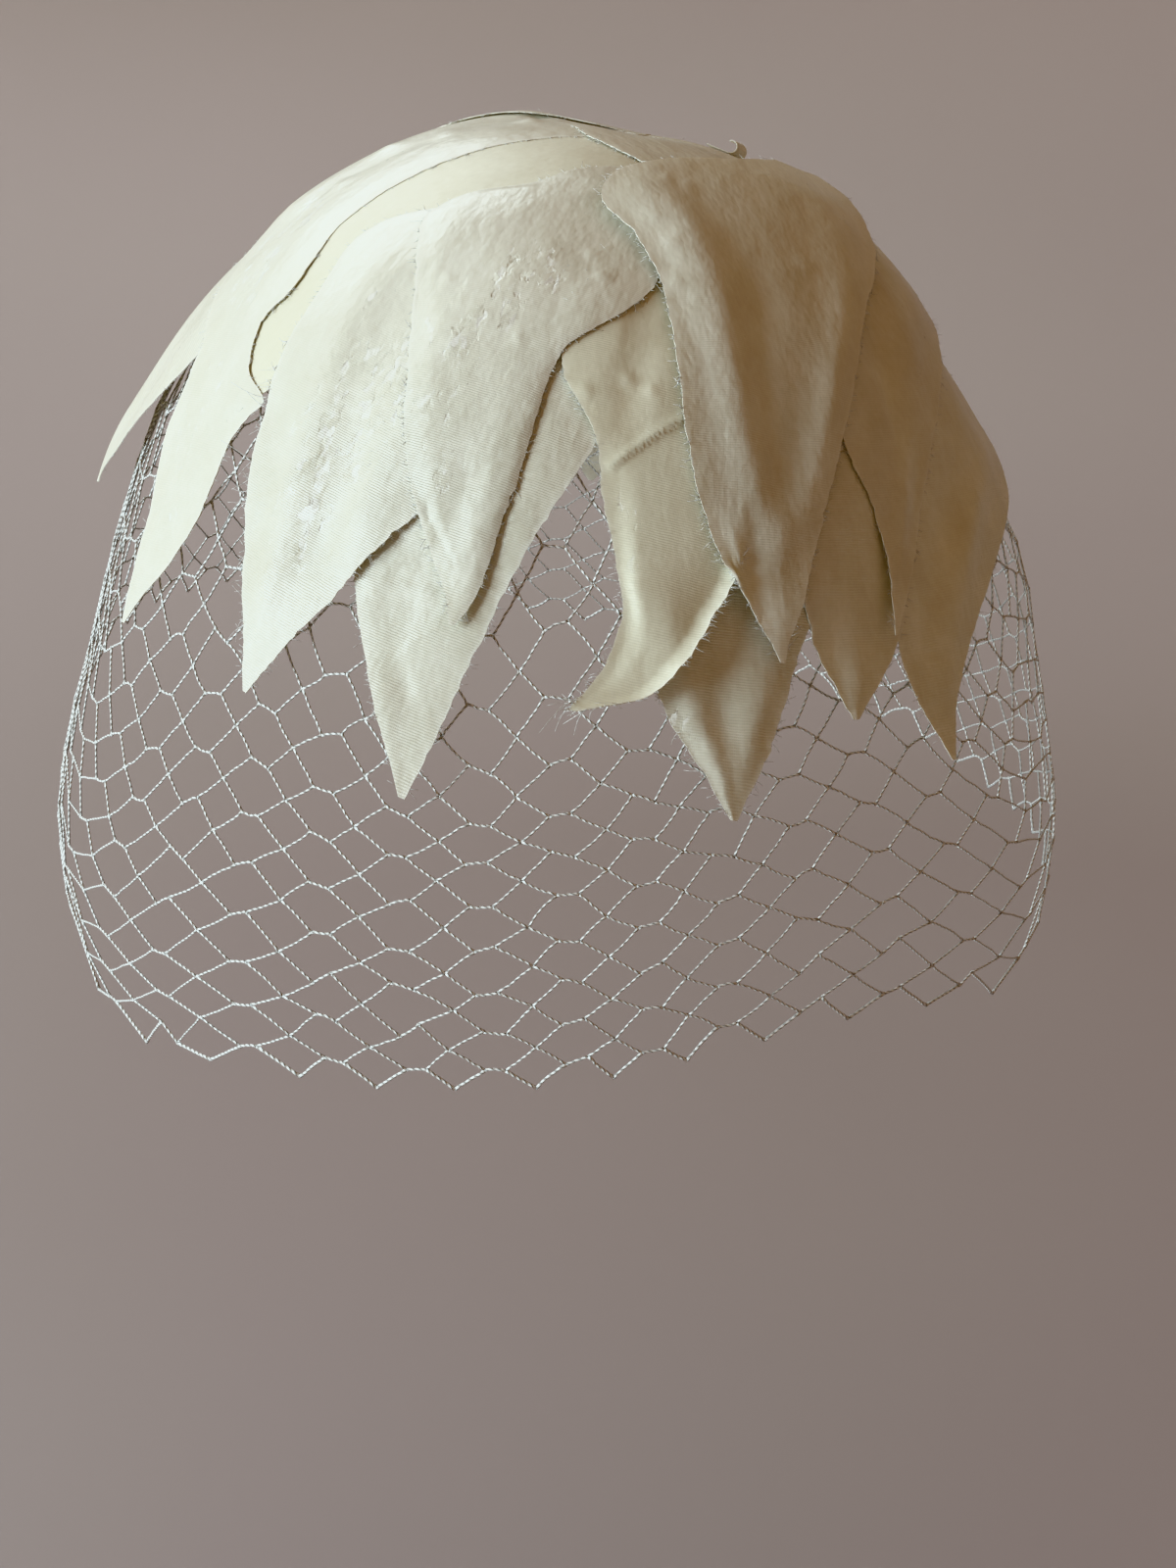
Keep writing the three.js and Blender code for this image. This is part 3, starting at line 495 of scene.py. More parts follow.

# A leaf runs straight over the dome from its root to its tip. Its rows are: distance along, left edge, right
# edge and, where they are lifted, the lift of the left and of the right edge, all in mm, right being towards
# rising azimuth.
# A fold is a line through (along, across) points, with a width and a height; negative is a valley, and True
# makes it crisp. A crease is the same but crosses the leaf, its points (across, along).
# A roll is an edge that turns up or down: side, width, then (along, height) rows.
# A crush is a crumpled patch, with painted glints on some of its facets, and a bump a small pucker: along,
# across, radius, amount.
# A pressed edge lies tight on the sheet below: side, width, how far along.
# Frays are loose threads: side or tip, from, to, longest. Ribs says how far the weave shows.
leaves = {
    "leaf_front_far_left": {
        # painted shade: this leaf wears the satin's darker, yellower back to look shaded under
        # leaf_crown_left's edge
        "root": rosette, "tip": (-56, 66), "layer": 0, "ribs": 0.6, "reverseAndShade": True,
        "rows": [(2, -12, 8), (15, -18, 14), (40, -20, 17), (60, -19, 17), (80, -14, 16), (92, -8, 16),
                 (100, -2, 13), (107, 4, 8), (109, 5.5, 6.5)],
        "folds": [([(30, 6), (60, 8), (90, 2)], 5, -0.3)],
    },
    "leaf_side_far_left": {
        "root": crownSeam, "tip": (-97, 80), "layer": 0, "ribs": 0.5,
        "rows": [(50, -10, 20), (65, -15, 36), (82, -18, 44), (96, -16, 46, 1, 0), (110, -10, 42, 2, 1),
                 (120, 0, 36, 3, 2), (128, 11, 30, 4, 3), (134, 20, 25, 4, 4), (137, 22.5, 23.5, 4, 4)],
        "folds": [([(80, 10), (105, 14), (130, 20)], 5, 0.8), ([(80, 24), (105, 26), (124, 26)], 4, -0.5)],
        "crushAndGlint": [(110, 24, 12, 0.5)],
    },
    "leaf_crown_left": {
        "root": topSeam, "tip": (-58, 89), "layer": 1, "ribs": 0.5,
        "rows": [(-6, -10, 24), (4, -17, 26), (15, -22, 23), (30, -26, 18), (45, -27, 14), (60, -26, 12.5),
                 (72, -22, 15), (78, -17, 15), (84, -11, 13), (91, -4, 15), (96, -3, 19), (99.5, -3, 25),
                 (103, -4, 22.5), (109, -5, 19.5), (117, -3, 19), (126, -0.5, 17), (134, 0.5, 11.5),
                 (140, 0, 5), (145, -0.4, 0.4)],
        "folds": [([(-4, -2), (20, -7), (45, -12), (62, -12)], 7.5, 2.4),
                  ([(20, 8), (45, 3), (70, 4), (95, 8), (120, 8), (138, 2)], 3.5, 0.9, True),
                  ([(15, -4), (45, -8), (70, -6), (90, 2)], 4, -0.5),
                  ([(12, -12), (40, -19), (66, -17), (84, -8), (104, 2)], 2.6, 1.1, True),
                  ([(8, 12), (34, 10), (56, 9)], 2.4, 0.9, True),
                  ([(75, 8), (90, 12), (105, 15), (122, 12)], 3, -0.6)],
        "crushAndGlint": [(20, 4, 10, 0.7), (48, -8, 12, 0.8), (64, -6, 12, 0.9), (80, 0, 9, 0.9), (95, 8, 8, 0.8),
                  (110, 6, 9, 0.9), (126, 8, 8, 0.8)],
        "bumps": [(12, 10, 2.2, 0.7), (6, 4, 2, -0.6), (3, 12, 2, -0.6), (26, 2, 3, 0.5), (34, -8, 3, 0.5),
                  (48, -4, 2.5, 0.4)],
        "pressed": ("right", 5, 70),
    },
    "leaf_front_left": {
        "root": rosette, "tip": (-32, 92), "layer": 1,
        "rows": [(38, -10, 3), (46, -20, 6), (54, -31, 9), (62, -34, 12), (74, -32.5, 15), (88, -30.5, 17),
                 (100, -27, 14), (112, -22, 9, 1, 1), (124, -15, 5.5, 1, 1), (134, -8, 1.5, 1.5, 1.5),
                 (143.5, -2.2, -1.5, 2, 2)],
        "folds": [([(60, -31), (80, -27), (100, -20), (120, -12)], 3.0, -0.5),
                  ([(62, -24), (90, -19), (112, -11), (132, -5)], 3.8, 1.4),
                  ([(66, -13), (90, -8), (106, -2), (122, 1)], 4.6, -1.1),
                  ([(80, 0), (98, 6), (116, 4)], 3.0, 1.2, True)],
        "crushAndGlint": [(86, -9, 11, 1.2), (97, -8, 10, 1.1), (108, -8, 9, 0.9), (70, -22, 8, 0.7),
                  (120, -6, 8, 0.8)],
        "pressed": ("left", 5, 78), "frays": ("left", 84, 138, 4.5),
    },
    "leaf_front_middle": {
        "root": rosette, "tip": (-10, 84), "layer": 2,
        "rows": [(14, -4, 4), (22, -15, 5), (29, -21, 6), (34, -32, 7), (42, -37, 9), (52, -35, 8),
                 (61, -32, 3, 0, 0.2), (68, -30, -1, 0, 0.4), (79, -26, -1, 0, 0.6), (90, -22, 0, 0, 0.6),
                 (102, -15, 0.3, 0.2, 0.7), (111, -7.5, 0.8, 0.6, 0.9), (116, -3.6, 0, 1, 1.1),
                 (119, -2, -1, 1.3, 1.3)],
        "folds": [([(40, -31), (65, -25), (87, -18), (104, -9), (114, -2)], 3.0, 0.7, True),
                  ([(44, -35), (66, -27), (86, -20)], 1.8, -0.3),
                  ([(60, -1), (68, -5), (80, -6), (90, -5.5), (102, -4), (112, -2)], 3.6, 1.0),
                  ([(60, -12), (84, -12), (96, -10), (106, -7)], 3.4, -0.8),
                  ([(48, -8), (60, -14), (76, -20)], 2.2, 0.35, True)],
        "rolls": [("right", 2.2, [(50, 0), (62, -0.2), (80, -0.5), (100, -0.5), (116, -0.2)])],
        "crushAndGlint": [(50, -11, 7, 1.0), (58, -13, 7, 1.0), (70, -18, 8, 0.9), (84, -17, 9, 0.8),
                  (68, -26, 6, 0.6), (96, -12, 7, 0.7)],
        "bumps": [(59, -26, 1.0, 0.25), (73, -20, 1.1, 0.25), (50, 0, 1.0, 0.3), (68, -9, 1.0, 0.25),
                  (45, -4, 1.3, 0.25)],
        "pressed": ("left", 5, 106), "frays": ("left", 80, 116, 1.3),
    },
    "leaf_lower_left": {
        "root": rosette, "tip": (-15, 101.5), "layer": 0,
        "rows": [(45, -12, 4), (60, -20, 7), (74, -25, 10), (85, -26, 9), (98, -26, 6), (110, -25, 4),
                 (119, -21, 3), (128, -15, 2), (137, -8, 1.5, 1, 1), (146, -0.5, 0.5, 2, 2)],
        "folds": [([(106, -17), (113, -14), (123, -12), (132, -9)], 3.6, -0.8),
                  ([(108, -23), (118, -18), (130, -11), (140, -5)], 2.4, 0.3),
                  ([(87, 3), (104, 0), (118, -3), (132, -4), (142, -1)], 4.0, 0.45),
                  ([(126, -4), (134, -3.5), (142, -1.5)], 2.0, -0.4)],
        "creases": [([(-19, 118), (-8, 115)], 0.7, 0.35)],
        "bumps": [(131, -6, 1.6, -0.3)],
        "frays": ("left", 108, 145, 1.4),
    },
    "leaf_curling": {
        "root": rosette, "tip": (1, 93.5), "layer": 1, "ribs": 0.7, "reverseAndShade": True, "cell": 0.65,
        "rows": [(40, -10, 10), (56, -15, 14, 0, 0.2), (70, -14.5, 16, 0.3, 0.6), (80, -7, 19, 0.3, 0.8),
                 (90, -3.5, 21.5, 0.3, 0.6), (100, 1, 21, 0.5, 0.6), (108, 4, 18, 1, 0.8),
                 (115, 4, 15, 1.5, 1.4), (121, 2, 11, 2, 2), (124, 0.5, 5, 2.6, 2.6), (126, -0.5, 0.5, 3, 3)],
        "folds": [([(68, -12), (78, -5), (92, 2), (104, 7), (114, 8.5), (122, 5)], 1.9, 0.5, True),
                  ([(80, -5), (92, 0), (104, 4.5), (114, 5.5), (122, 3)], 1.5, -0.4),
                  ([(75, 0), (88, 7), (100, 11), (111, 11), (120, 7)], 3.0, -0.5),
                  ([(60, 2), (80, 12), (96, 15), (108, 13)], 4.5, 0.4)],
        "rolls": [("right", 2.6, [(84, 0), (94, 0.9), (104, 1.6), (114, 1.6), (122, 0.8)])],
        "creases": [([(-3, 85), (3, 78), (8, 73)], 0.7, 0.6)],
        "crushAndGlint": [(92, 1, 5, 0.9), (102, 4, 4, 0.9), (82, -4, 4, 0.6)],
        "bumps": [(69, -3, 1.4, 0.35), (70, 1, 1.1, 0.25), (73, -10, 1.3, 0.3)],
        "frays": ("tip", 116, 126, 6),
    },
    "leaf_lower_right": {
        "root": rosette, "tip": (16, 103.5), "layer": 0,
        "rows": [(50, -10, 14), (66, -17, 20), (82, -20, 22), (97, -20, 18), (108, -18, 12), (116, -15, 9),
                 (123, -11.5, 7), (130, -6, 4, 1, 1), (137, -0.5, 0.5, 2, 2)],
        "folds": [([(104, -15), (116, -10), (122, -7), (128, -4), (134, -1)], 2.8, 1.9, True),
                  ([(104, -5), (116, -3.5), (124, -2), (132, -1)], 3.2, -0.7),
                  ([(98, 8), (109, 6), (118, 4.5), (124, 2.5), (131, 0.5)], 3.8, 2.0, True)],
        "crushAndGlint": [(116, -13, 5, 1.0), (125, -9, 5, 1.0), (108, -16, 5, 0.8), (118, 6, 5, 0.4)],
        "frays": ("left", 108, 136, 2.2),
    },
    "leaf_front_right": {
        "root": rosette, "tip": (22, 88.5), "layer": 3, "ribs": 0.45, "freeRoot": True,
        "rows": [(-3, 22, 32, 3, 3), (3, 16, 35, 3, 3), (9, 6, 36, 3, 3), (13, -8, 36, 2.8, 3),
                 (17, -18, 36, 2.4, 2.8), (24, -23, 35, 1.8, 2.4), (34, -19, 31, 1.2, 1.8),
                 (46, -16.5, 25, 0.8, 1.2), (60, -16, 20, 0.6, 0.6), (74, -15.5, 15, 0.5, 0.2),
                 (86, -13.5, 11, 0.5, 0.2), (97, -9.5, 7.5, 0.6, 0.6), (105, -4.5, 4.5, 2, 2),
                 (111, -0.4, 2.2, 2, 2), (113.5, 1, 1.8, 2, 2)],
        "folds": [([(18, -15), (29, -11), (44, -8.5), (58, -7.5), (69, -6.5), (81, -4.5), (92, -1),
                    (103, 1)], 6.5, 1.7),
                  ([(18, -14), (29, -9), (44, -6), (58, -6), (69, -5), (81, -3), (90, 1), (98, 3)],
                   3.0, 1.0, True),
                  ([(22, 3), (44, 5), (62, 5), (78, 4), (90, 4)], 4, -0.8),
                  ([(8, 25), (27, 25), (43, 22), (62, 15), (78, 10), (94, 5)], 4.5, 2.7),
                  ([(30, 10), (52, 8), (72, 5), (88, 3)], 2.2, 0.4, True)],
        "crushAndGlint": [(40, -12, 8, 0.35)],
        "bumps": [(21, -6, 1.4, 0.35), (37, -13, 1.3, 0.35), (46, -14, 1.3, 0.35), (20, -10, 1.3, 0.3),
                  (37, 14, 1.4, 0.3), (41, -14.5, 1.2, -0.3), (30, -15, 1.8, 0.3)],
        "frays": ("left", 60, 110, 1.6),
    },
    "leaf_low_right": {
        "root": rosette, "tip": (31, 96), "layer": 1, "ribs": 0.6,
        "rows": [(46, -4, 12), (60, -7, 17), (76, -10, 19), (90, -11, 18), (100, -9, 15), (109, -6.5, 12),
                 (116, -3.5, 6, 1, 1), (122, -0.5, 0.5, 2, 2)],
        "folds": [([(80, 4), (103, 2), (118, 1)], 3.0, 1.3, True),
                  ([(88, -5), (102, -3), (114, -1)], 3, -0.5)],
    },
    "leaf_side_right": {
        "root": rosette, "tip": (40, 87), "layer": 2, "ribs": 0.5,
        "rows": [(-18, -12, 14), (-8, -14, 28, 0, 0.6), (4, -12, 38, 0, 1.4), (14, -10, 44, 0, 2.2),
                 (28, -9, 50, 0, 2.6), (42, -9, 47, 0, 2.4), (54, -8, 38, 0, 1.8), (66, -6, 28, 0, 1),
                 (77, -4.5, 19, 0, 0.3), (88, -1.5, 12), (97, -1.5, 5.5, 1, 1), (104, -2.6, 0.2, 1.5, 1.5),
                 (109, -3.6, -3, 2, 2)],
        "folds": [([(60, 16), (72, 12), (84, 7), (96, 2)], 1.8, 1.0, True),
                  ([(52, 24), (66, 19), (79, 11), (91, 5)], 2.0, 1.1, True),
                  ([(58, 20), (70, 15), (82, 9)], 1.6, -0.5),
                  ([(30, 24), (50, 17), (64, 9), (80, 4)], 4.5, -0.9),
                  ([(10, 34), (30, 38), (50, 32)], 6, 1.6), ([(20, 20), (40, 24), (60, 26)], 3, 1.2, True)],
    },
    "leaf_side_far_right": {
        "root": rosette, "tip": (43, 101), "layer": 0, "ribs": 0.5,
        "rows": [(36, 16, 48), (50, 14, 58), (64, 13, 61, 0, 1), (76, 12, 59, 0, 2), (86, 7, 50, 0, 2),
                 (94, 2, 38, 0, 1), (101, -3, 27), (107, -6, 18), (113, -7, 11), (121, -5, 4, 1, 1),
                 (129.5, -1, 0, 2, 2)],
        "folds": [([(76, 44), (94, 20), (108, 8), (122, 2)], 3.5, 1.4, True),
                  ([(84, 18), (100, 6), (114, 0)], 3, -0.6),
                  ([(66, 36), (86, 26), (104, 12)], 2.2, 0.7, True)],
    },
}

# the leaves at the back share one outline: share of the length, half width, lift
backOutline = [(0, 8, 0), (0.2, 15, 0), (0.45, 19.5, 0), (0.7, 18, 0), (0.87, 10.5, 1), (1, 0.5, 2)]
backLeaves = [("leaf_back_1", (-118, 84), 2, -8), ("leaf_back_2", (-140, 90), 0, 36),
              ("leaf_back_3", (-163, 84), 1, 14), ("leaf_back_4", (175, 91), 0, 30),
              ("leaf_back_5", (153, 84), 2, 22), ("leaf_back_6", (130, 90), 0, 22),
              ("leaf_back_7", (100, 74), 1, 0)]  # name, tip, layer, where it starts

for number, (name, tip, layer, start) in enumerate(backLeaves):
    length = cloth["scale"] * math.acos(float(directionOf(*crownSeam) @ directionOf(*tip)))
    reach = length - start
    lean = 3 * math.sin(2.1 * number)
    leaves[name] = {
        "root": crownSeam, "tip": tip, "layer": layer,
        "rows": [(start + part * reach, -half, half, lift, lift) for part, half, lift in backOutline],
        "folds": [([(start + 0.3 * reach, -6 + lean), (start + 0.7 * reach, -3), (start + 0.95 * reach, 0)],
                   3.2, 0.8), ([(start + 0.4 * reach, 6 + lean), (start + 0.8 * reach, 3)], 4.0, -0.6)],
        "crushAndGlint": [(start + 0.5 * reach, lean, 9, 0.5)],
        "frays": ("left", start + 0.5 * reach, start + 0.97 * reach, 1.3),
    }

for leaf in leaves.values():  # an edge without a lift has none
    leaf["rows"] = np.array([(*row, 0, 0)[:5] for row in leaf["rows"]], float)


def leafFrame(leaf):
    root, tip = directionOf(*leaf["root"]), directionOf(*leaf["tip"])
    ahead = unit(tip - root * (tip @ root))
    return root, ahead, np.cross(root, ahead)


def leafPlace(leaf, along, across):
    # turn from the root's direction towards the tip's by along / scale, then sideways by across / scale
    root, ahead, right = leafFrame(leaf)
    a, b = along[..., None] / cloth["scale"], across[..., None] / cloth["scale"]
    return placeOf(np.cos(b) * (np.cos(a) * root + np.sin(a) * ahead) + np.sin(b) * right)


def foldHeight(folds, along, across):
    # height * exp(-(distance across the fold / width)^2), fading in and out at its ends; a crisp fold has
    # exp(-distance / width) instead, rounded over its middle
    total = np.zeros_like(along)
    for path, width, height, *crisp in folds:
        first, last = path[0][0], path[-1][0]
        line = readTable(path, np.clip(along, first, last))
        ends = smooth(first - 8, first + 4, along) * (1 - smooth(last - 6, last + 3, along))
        away = np.abs(across - line) / width
        shape = np.exp(0.2 - np.sqrt(away**2 + 0.04)) if crisp else np.exp(-away**2)
        total += height * shape * ends
    return total


def creaseHeight(creases, along, across):
    # a bell over a line that crosses the leaf, given as along for each across
    total = np.zeros_like(along)
    for path, width, height in creases:
        first, last = path[0][0], path[-1][0]
        line = readTable(path, np.clip(across, first, last))
        ends = smooth(first - 1.5, first + 1, across) * (1 - smooth(last - 1, last + 1.5, across))
        total += height * bell(along, line, width) * ends
    return total


def spotHeight(spots, along, across):
    # the sum of amount * exp(-(distance from the spot / radius)^2)
    total = np.zeros_like(along)
    for a, b, radius, amount in spots:
        total += amount * np.exp(-((along - a) ** 2 + (across - b) ** 2) / radius**2)
    return total


# The heap is the top of everything laid so far, on a flat chart of the dome:
# drop * (sin azimuth, cos azimuth)
chartLine = np.arange(-cloth["mapReach"], cloth["mapReach"] + 0.01, cloth["mapStep"])
chartX, chartY = np.meshgrid(chartLine, chartLine, indexing="ij")
chartDirection = directionOf(np.degrees(np.arctan2(chartX, chartY)), np.hypot(chartX, chartY))
heap = np.zeros_like(chartX)


def heapUnder(azimuth, drop):
    angle = np.radians(azimuth)
    return sample(heap, (drop * np.sin(angle) + cloth["mapReach"]) / cloth["mapStep"],
                  (drop * np.cos(angle) + cloth["mapReach"]) / cloth["mapStep"])


def addToHeap(leaf, left, right, height):
    # each place of the chart that the leaf covers takes the leaf's height there
    root, ahead, aside = leafFrame(leaf)
    first, last = leaf["rows"][0][0], leaf["rows"][-1][0]
    across = cloth["scale"] * np.arcsin(np.clip(chartDirection @ aside, -1, 1))
    along = cloth["scale"] * np.arctan2(chartDirection @ ahead, chartDirection @ root)
    u = (along - first) / (last - first) * (len(left) - 1)
    i = np.clip(u.astype(int), 0, len(left) - 1)
    v = (across - left[i]) / np.maximum(right[i] - left[i], 0.01) * (height.shape[1] - 1)
    covered = (u >= 0) & (u <= len(left) - 1) & (v >= 0) & (v <= height.shape[1] - 1)
    heap[covered] = np.maximum(heap[covered], sample(height, u[covered], v[covered]))


def settle(height, floor, rounds):
    # the sheet eases over what lies under it: every round each place takes the mean of its four neighbours,
    # and never sinks below the floor
    for _ in range(rounds):
        wide = np.pad(height, 1, mode="edge")
        height = np.maximum((wide[:-2, 1:-1] + wide[2:, 1:-1] + wide[1:-1, :-2] + wide[1:-1, 2:]) / 4, floor)
    return height


def drapedHeight(leaf, along, across, drop, under, lift, phase):
    # settled over the sheets below from gap + flare + folds + slow waves, with the lift and creases on top
    floor = settle(under, under, cloth["easeRounds"][0]) + cloth["rest"]
    away = np.clip((drop - cloth["flareStart"]) / cloth["flareSpan"], 0, cloth["flareMost"])
    free = 0.35 + 0.65 * smooth(55, 80, drop)  # the waves grow where the leaf hangs free
    height = cloth["gap"] + cloth["flare"] * away**2 + foldHeight(leaf.get("folds", []), along, across)
    height += free * cloth["wave"] * (np.sin(along * 0.17 + across * 0.06 + phase[6])
                                      + np.sin(across * 0.26 - along * 0.05 + phase[7]))
    height += cloth["dimple"] * np.sin(0.46 * along + 0.3 * across + phase[4]) * np.sin(
        0.55 * across - 0.17 * along + phase[5])
    height = settle(np.maximum(height, floor), floor, cloth["settle"])
    height = settle(height, floor - cloth["ease"], cloth["easeRounds"][1]) + np.maximum(lift, 0)
    return height + creaseHeight(leaf.get("creases", []), along, across)


def leafSurface(leaf, seed):
    # (along, across) on a grid between the two edges, carried to the dome by leafPlace, at the draped height
    rows = leaf["rows"]
    first, last = rows[0, 0], rows[-1, 0]
    cell = leaf.get("cell", cloth["cell"])
    steps, lanes = int((last - first) / cell) + 1, int((rows[:, 2] - rows[:, 1]).max() / cell) + 1
    middle = first + np.linspace(0, 1, steps)[:, None] * (last - first)
    side = np.linspace(0, 1, lanes)[None]
    table = readTable(rows, middle[:, 0])
    chance = np.random.default_rng(seed)
    phase = chance.uniform(0, 6.28, 8)
    wander = [np.sin(middle * 0.55 + phase[k]) + 0.6 * np.sin(middle * 1.4 + phase[k + 1])
              + chance.normal(0, 0.8, middle.shape) for k in (0, 2)]
    left, right, liftLeft, liftRight = (table[:, k:k + 1] for k in range(4))
    quiet = cloth["edgeWaver"] * smooth(0.5, 4, right - left)  # the tip is cut true
    left, right = left + quiet * wander[0], right + quiet * wander[1]
    across = left + (right - left) * side
    along = middle + 0 * side
    inward = {"left": across - left, "right": right - across}
    azimuth, drop = leafPlace(leaf, along, across)
    under = heapUnder(azimuth, drop)
    lift = liftLeft + (liftRight - liftLeft) * side
    height = drapedHeight(leaf, along, across, drop, under, lift, phase)
    for edge, wide, curve in leaf.get("rolls", []):
        amount = readTable(curve, np.clip(middle, curve[0][0], curve[-1][0]))
        height += amount * np.clip(1 - inward[edge] / wide, 0, 1) ** 2
    height += spotHeight(leaf.get("bumps", []), along, across)
    least = under + cloth["pinch"]
    if "pressed" in leaf:
        edge, wide, until = leaf["pressed"]
        loose = np.maximum(smooth(-1, wide, inward[edge]), smooth(until - 12, until + 6, along))
        height = least + (height - least) * loose
    sewn = 1.0 if leaf.get("freeRoot") else smooth(0, 12, along - first)
    height = np.maximum(least + (height - least) * sewn, least)
    addToHeap(leaf, left[:, 0], right[:, 0], height)
    inside = np.minimum(np.minimum(inward["left"], inward["right"]), last - along)
    masks = {"edge": np.exp(-np.maximum(inside, 0) / 0.35),
             "crushAndGlint": np.clip(spotHeight(leaf.get("crushAndGlint", []), along, across) + 0.04, 0, 1),
             "ribs": leaf.get("ribs", 1.0) * smooth(35, 72, drop)}
    uv = np.stack(np.broadcast_arrays(across, along), -1)
    flat = {"size": (float(right.max() - left.min()) * mm, float(last - first) * mm),
            "area": float((right - left).mean() * (last - first)) * mm * mm}
    return domeOffset(azimuth, drop, height), uv, masks, flat


def dress(piece, material, nodes=()):
    piece.data.materials.append(materials[material])
    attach(piece, "root")
    if nodes:
        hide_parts(*nodes)
    return piece


leafPieces, leafPoints, leafFlat = {}, {}, {}
laid = sorted(leaves.items(), key=lambda entry: entry[1]["layer"])  # the lowest sheets first
for number, (name, leaf) in enumerate(laid):
    points, uv, masks, flat = leafSurface(leaf, 40 + number)
    piece = sheetPiece(name + "_satin", points, uv, masks, cloth["thickness"])
    dress(piece, "reverseAndShade" if leaf.get("reverseAndShade") else "satin", [name])
    leafPieces[name], leafPoints[name], leafFlat[name] = piece, points, flat
print("satin leaves cut:", len(leafPieces))


curl = {"azimuth": 104, "drop": 24, "heading": 75, "lift": 2.4, "width": 9, "footLength": 9, "radius": 1.5,
        "lean": 0.35, "turn": 215, "thickness": 0.2, "taper": 0.25, "squash": 0.95}


def makeCurl():
    # a flat foot, then a strip whose section is an arc: foot + radius * (sin angle, 1 - cos angle),
    # narrowing, and leaning so that one edge is wider round than the other
    middle = directionOf(curl["azimuth"], curl["drop"])
    towards = directionOf(curl["heading"], 90)
    ahead = unit(towards - middle * (towards @ middle))
    right = np.cross(middle, ahead)
    foot = domeOffset(curl["azimuth"], curl["drop"], curl["lift"])
    share, side = np.meshgrid(np.linspace(-0.5, 1, 36), np.linspace(-0.5, 0.5, 13), indexing="ij")
    rolled = np.maximum(share, 0)
    angle = rolled * math.radians(curl["turn"])
    radius = curl["radius"] + curl["lean"] * side
    out = radius * np.sin(angle) + np.minimum(share, 0) * curl["footLength"]
    up = curl["squash"] * radius * (1 - np.cos(angle))
    half = curl["width"] * (1 - curl["taper"] * rolled) * side
    points = foot + out[..., None] * ahead + up[..., None] * middle + half[..., None] * right
    uv = np.stack([side * curl["width"], share * 8], -1)
    masks = {"edge": np.exp(-(0.5 - np.abs(side)) * curl["width"] / 0.6),
             "crushAndGlint": np.full(share.shape, 0.2), "ribs": np.full(share.shape, 0.5)}
    piece = sheetPiece("leaf_crown_curl_satin", points, uv, masks, curl["thickness"])
    return dress(piece, "satin", ["leaf_crown_curl"])


curlPiece = makeCurl()
print("curled end made")


cap = {
    "rimDrop": 57, "outer": -0.25, "thickness": 0.9, "down": 46, "around": 180, "radius": 86,
    "tape": {"width": 2.4, "thickness": 1.14, "drop": 56.25, "ripple": 0.03, "around": 240, "section": 14},
    "stitches": {"count": 96, "thread": 0.14, "drop": 54.7, "down": 0.9, "slant": 1.1, "bulge": 0.16},
}
capMiddle = cap["outer"] - cap["thickness"] / 2


def makeCap():
    # the dome's surface moved in by a steady height, on a polar grid from near the pole down to the rim
    drop = np.linspace(1, cap["rimDrop"] - 0.3, cap["down"])[:, None]
    azimuth = np.linspace(-180, 180, cap["around"], endpoint=False)[None]
    points = domeOffset(azimuth, drop, np.full((cap["down"], cap["around"]), cap["outer"]))
    reach, angle = drop / cap["rimDrop"] * cap["radius"], np.radians(azimuth)
    uv = np.stack(np.broadcast_arrays(reach * np.sin(angle), reach * np.cos(angle)), -1)
    pole = domePoint(0.0, 0.0) + [0, 0, cap["outer"]]
    piece = discPiece("cap_base_cloth", points, uv, pole, (0, 0))
    thicken(piece, cap["thickness"], -1)
    return dress(piece, "cap", ["cap_base"])


def makeRimTape():
    # a flat tape folded over the rim: an oval section carried round it
    tape = cap["tape"]
    azimuth = np.linspace(-180, 180, tape["around"], endpoint=False)[:, None]
    angle = np.linspace(0, 2 * np.pi, tape["section"], endpoint=False)[None]
    height = capMiddle + tape["thickness"] / 2 * np.sin(angle) + 0 * azimuth
    ripple = tape["ripple"] * np.sin(np.radians(azimuth * 37))
    drop = tape["drop"] + np.degrees(tape["width"] / 2 * np.cos(angle) / 87) + ripple
    uv = np.stack(np.broadcast_arrays(azimuth * 1.27, angle * 1.2), -1)
    faces = gridFaces(tape["around"], tape["section"], closed=True, looped=True)[:, ::-1]
    points = domeOffset(azimuth, drop, height).reshape(-1, 3)
    return dress(meshFrom("cap_rim_tape", points, faces, uv.reshape(-1, 2)), "cap")


def makeRimStitches():
    # short slanting stitches over the tape's inner edge, each a shallow arch
    stitch = cap["stitches"]
    share = np.linspace(0, 1, 7)[None]
    azimuth = np.linspace(-180, 180, stitch["count"], endpoint=False)[:, None] + stitch["slant"] * share
    drop = stitch["drop"] + stitch["down"] * share + 0 * azimuth
    height = cap["outer"] - cap["thickness"] - 0.1 - stitch["bulge"] * np.sin(np.pi * share) + 0 * azimuth
    paths = domeOffset(azimuth, drop, height)
    bundle = (paths, np.full(drop.shape, stitch["thread"]), domeNormal(azimuth, drop))
    return dress(tubePiece("cap_rim_stitches", [bundle], 6), "net")


capPiece = makeCap()
makeRimTape()
makeRimStitches()
print("cap made")


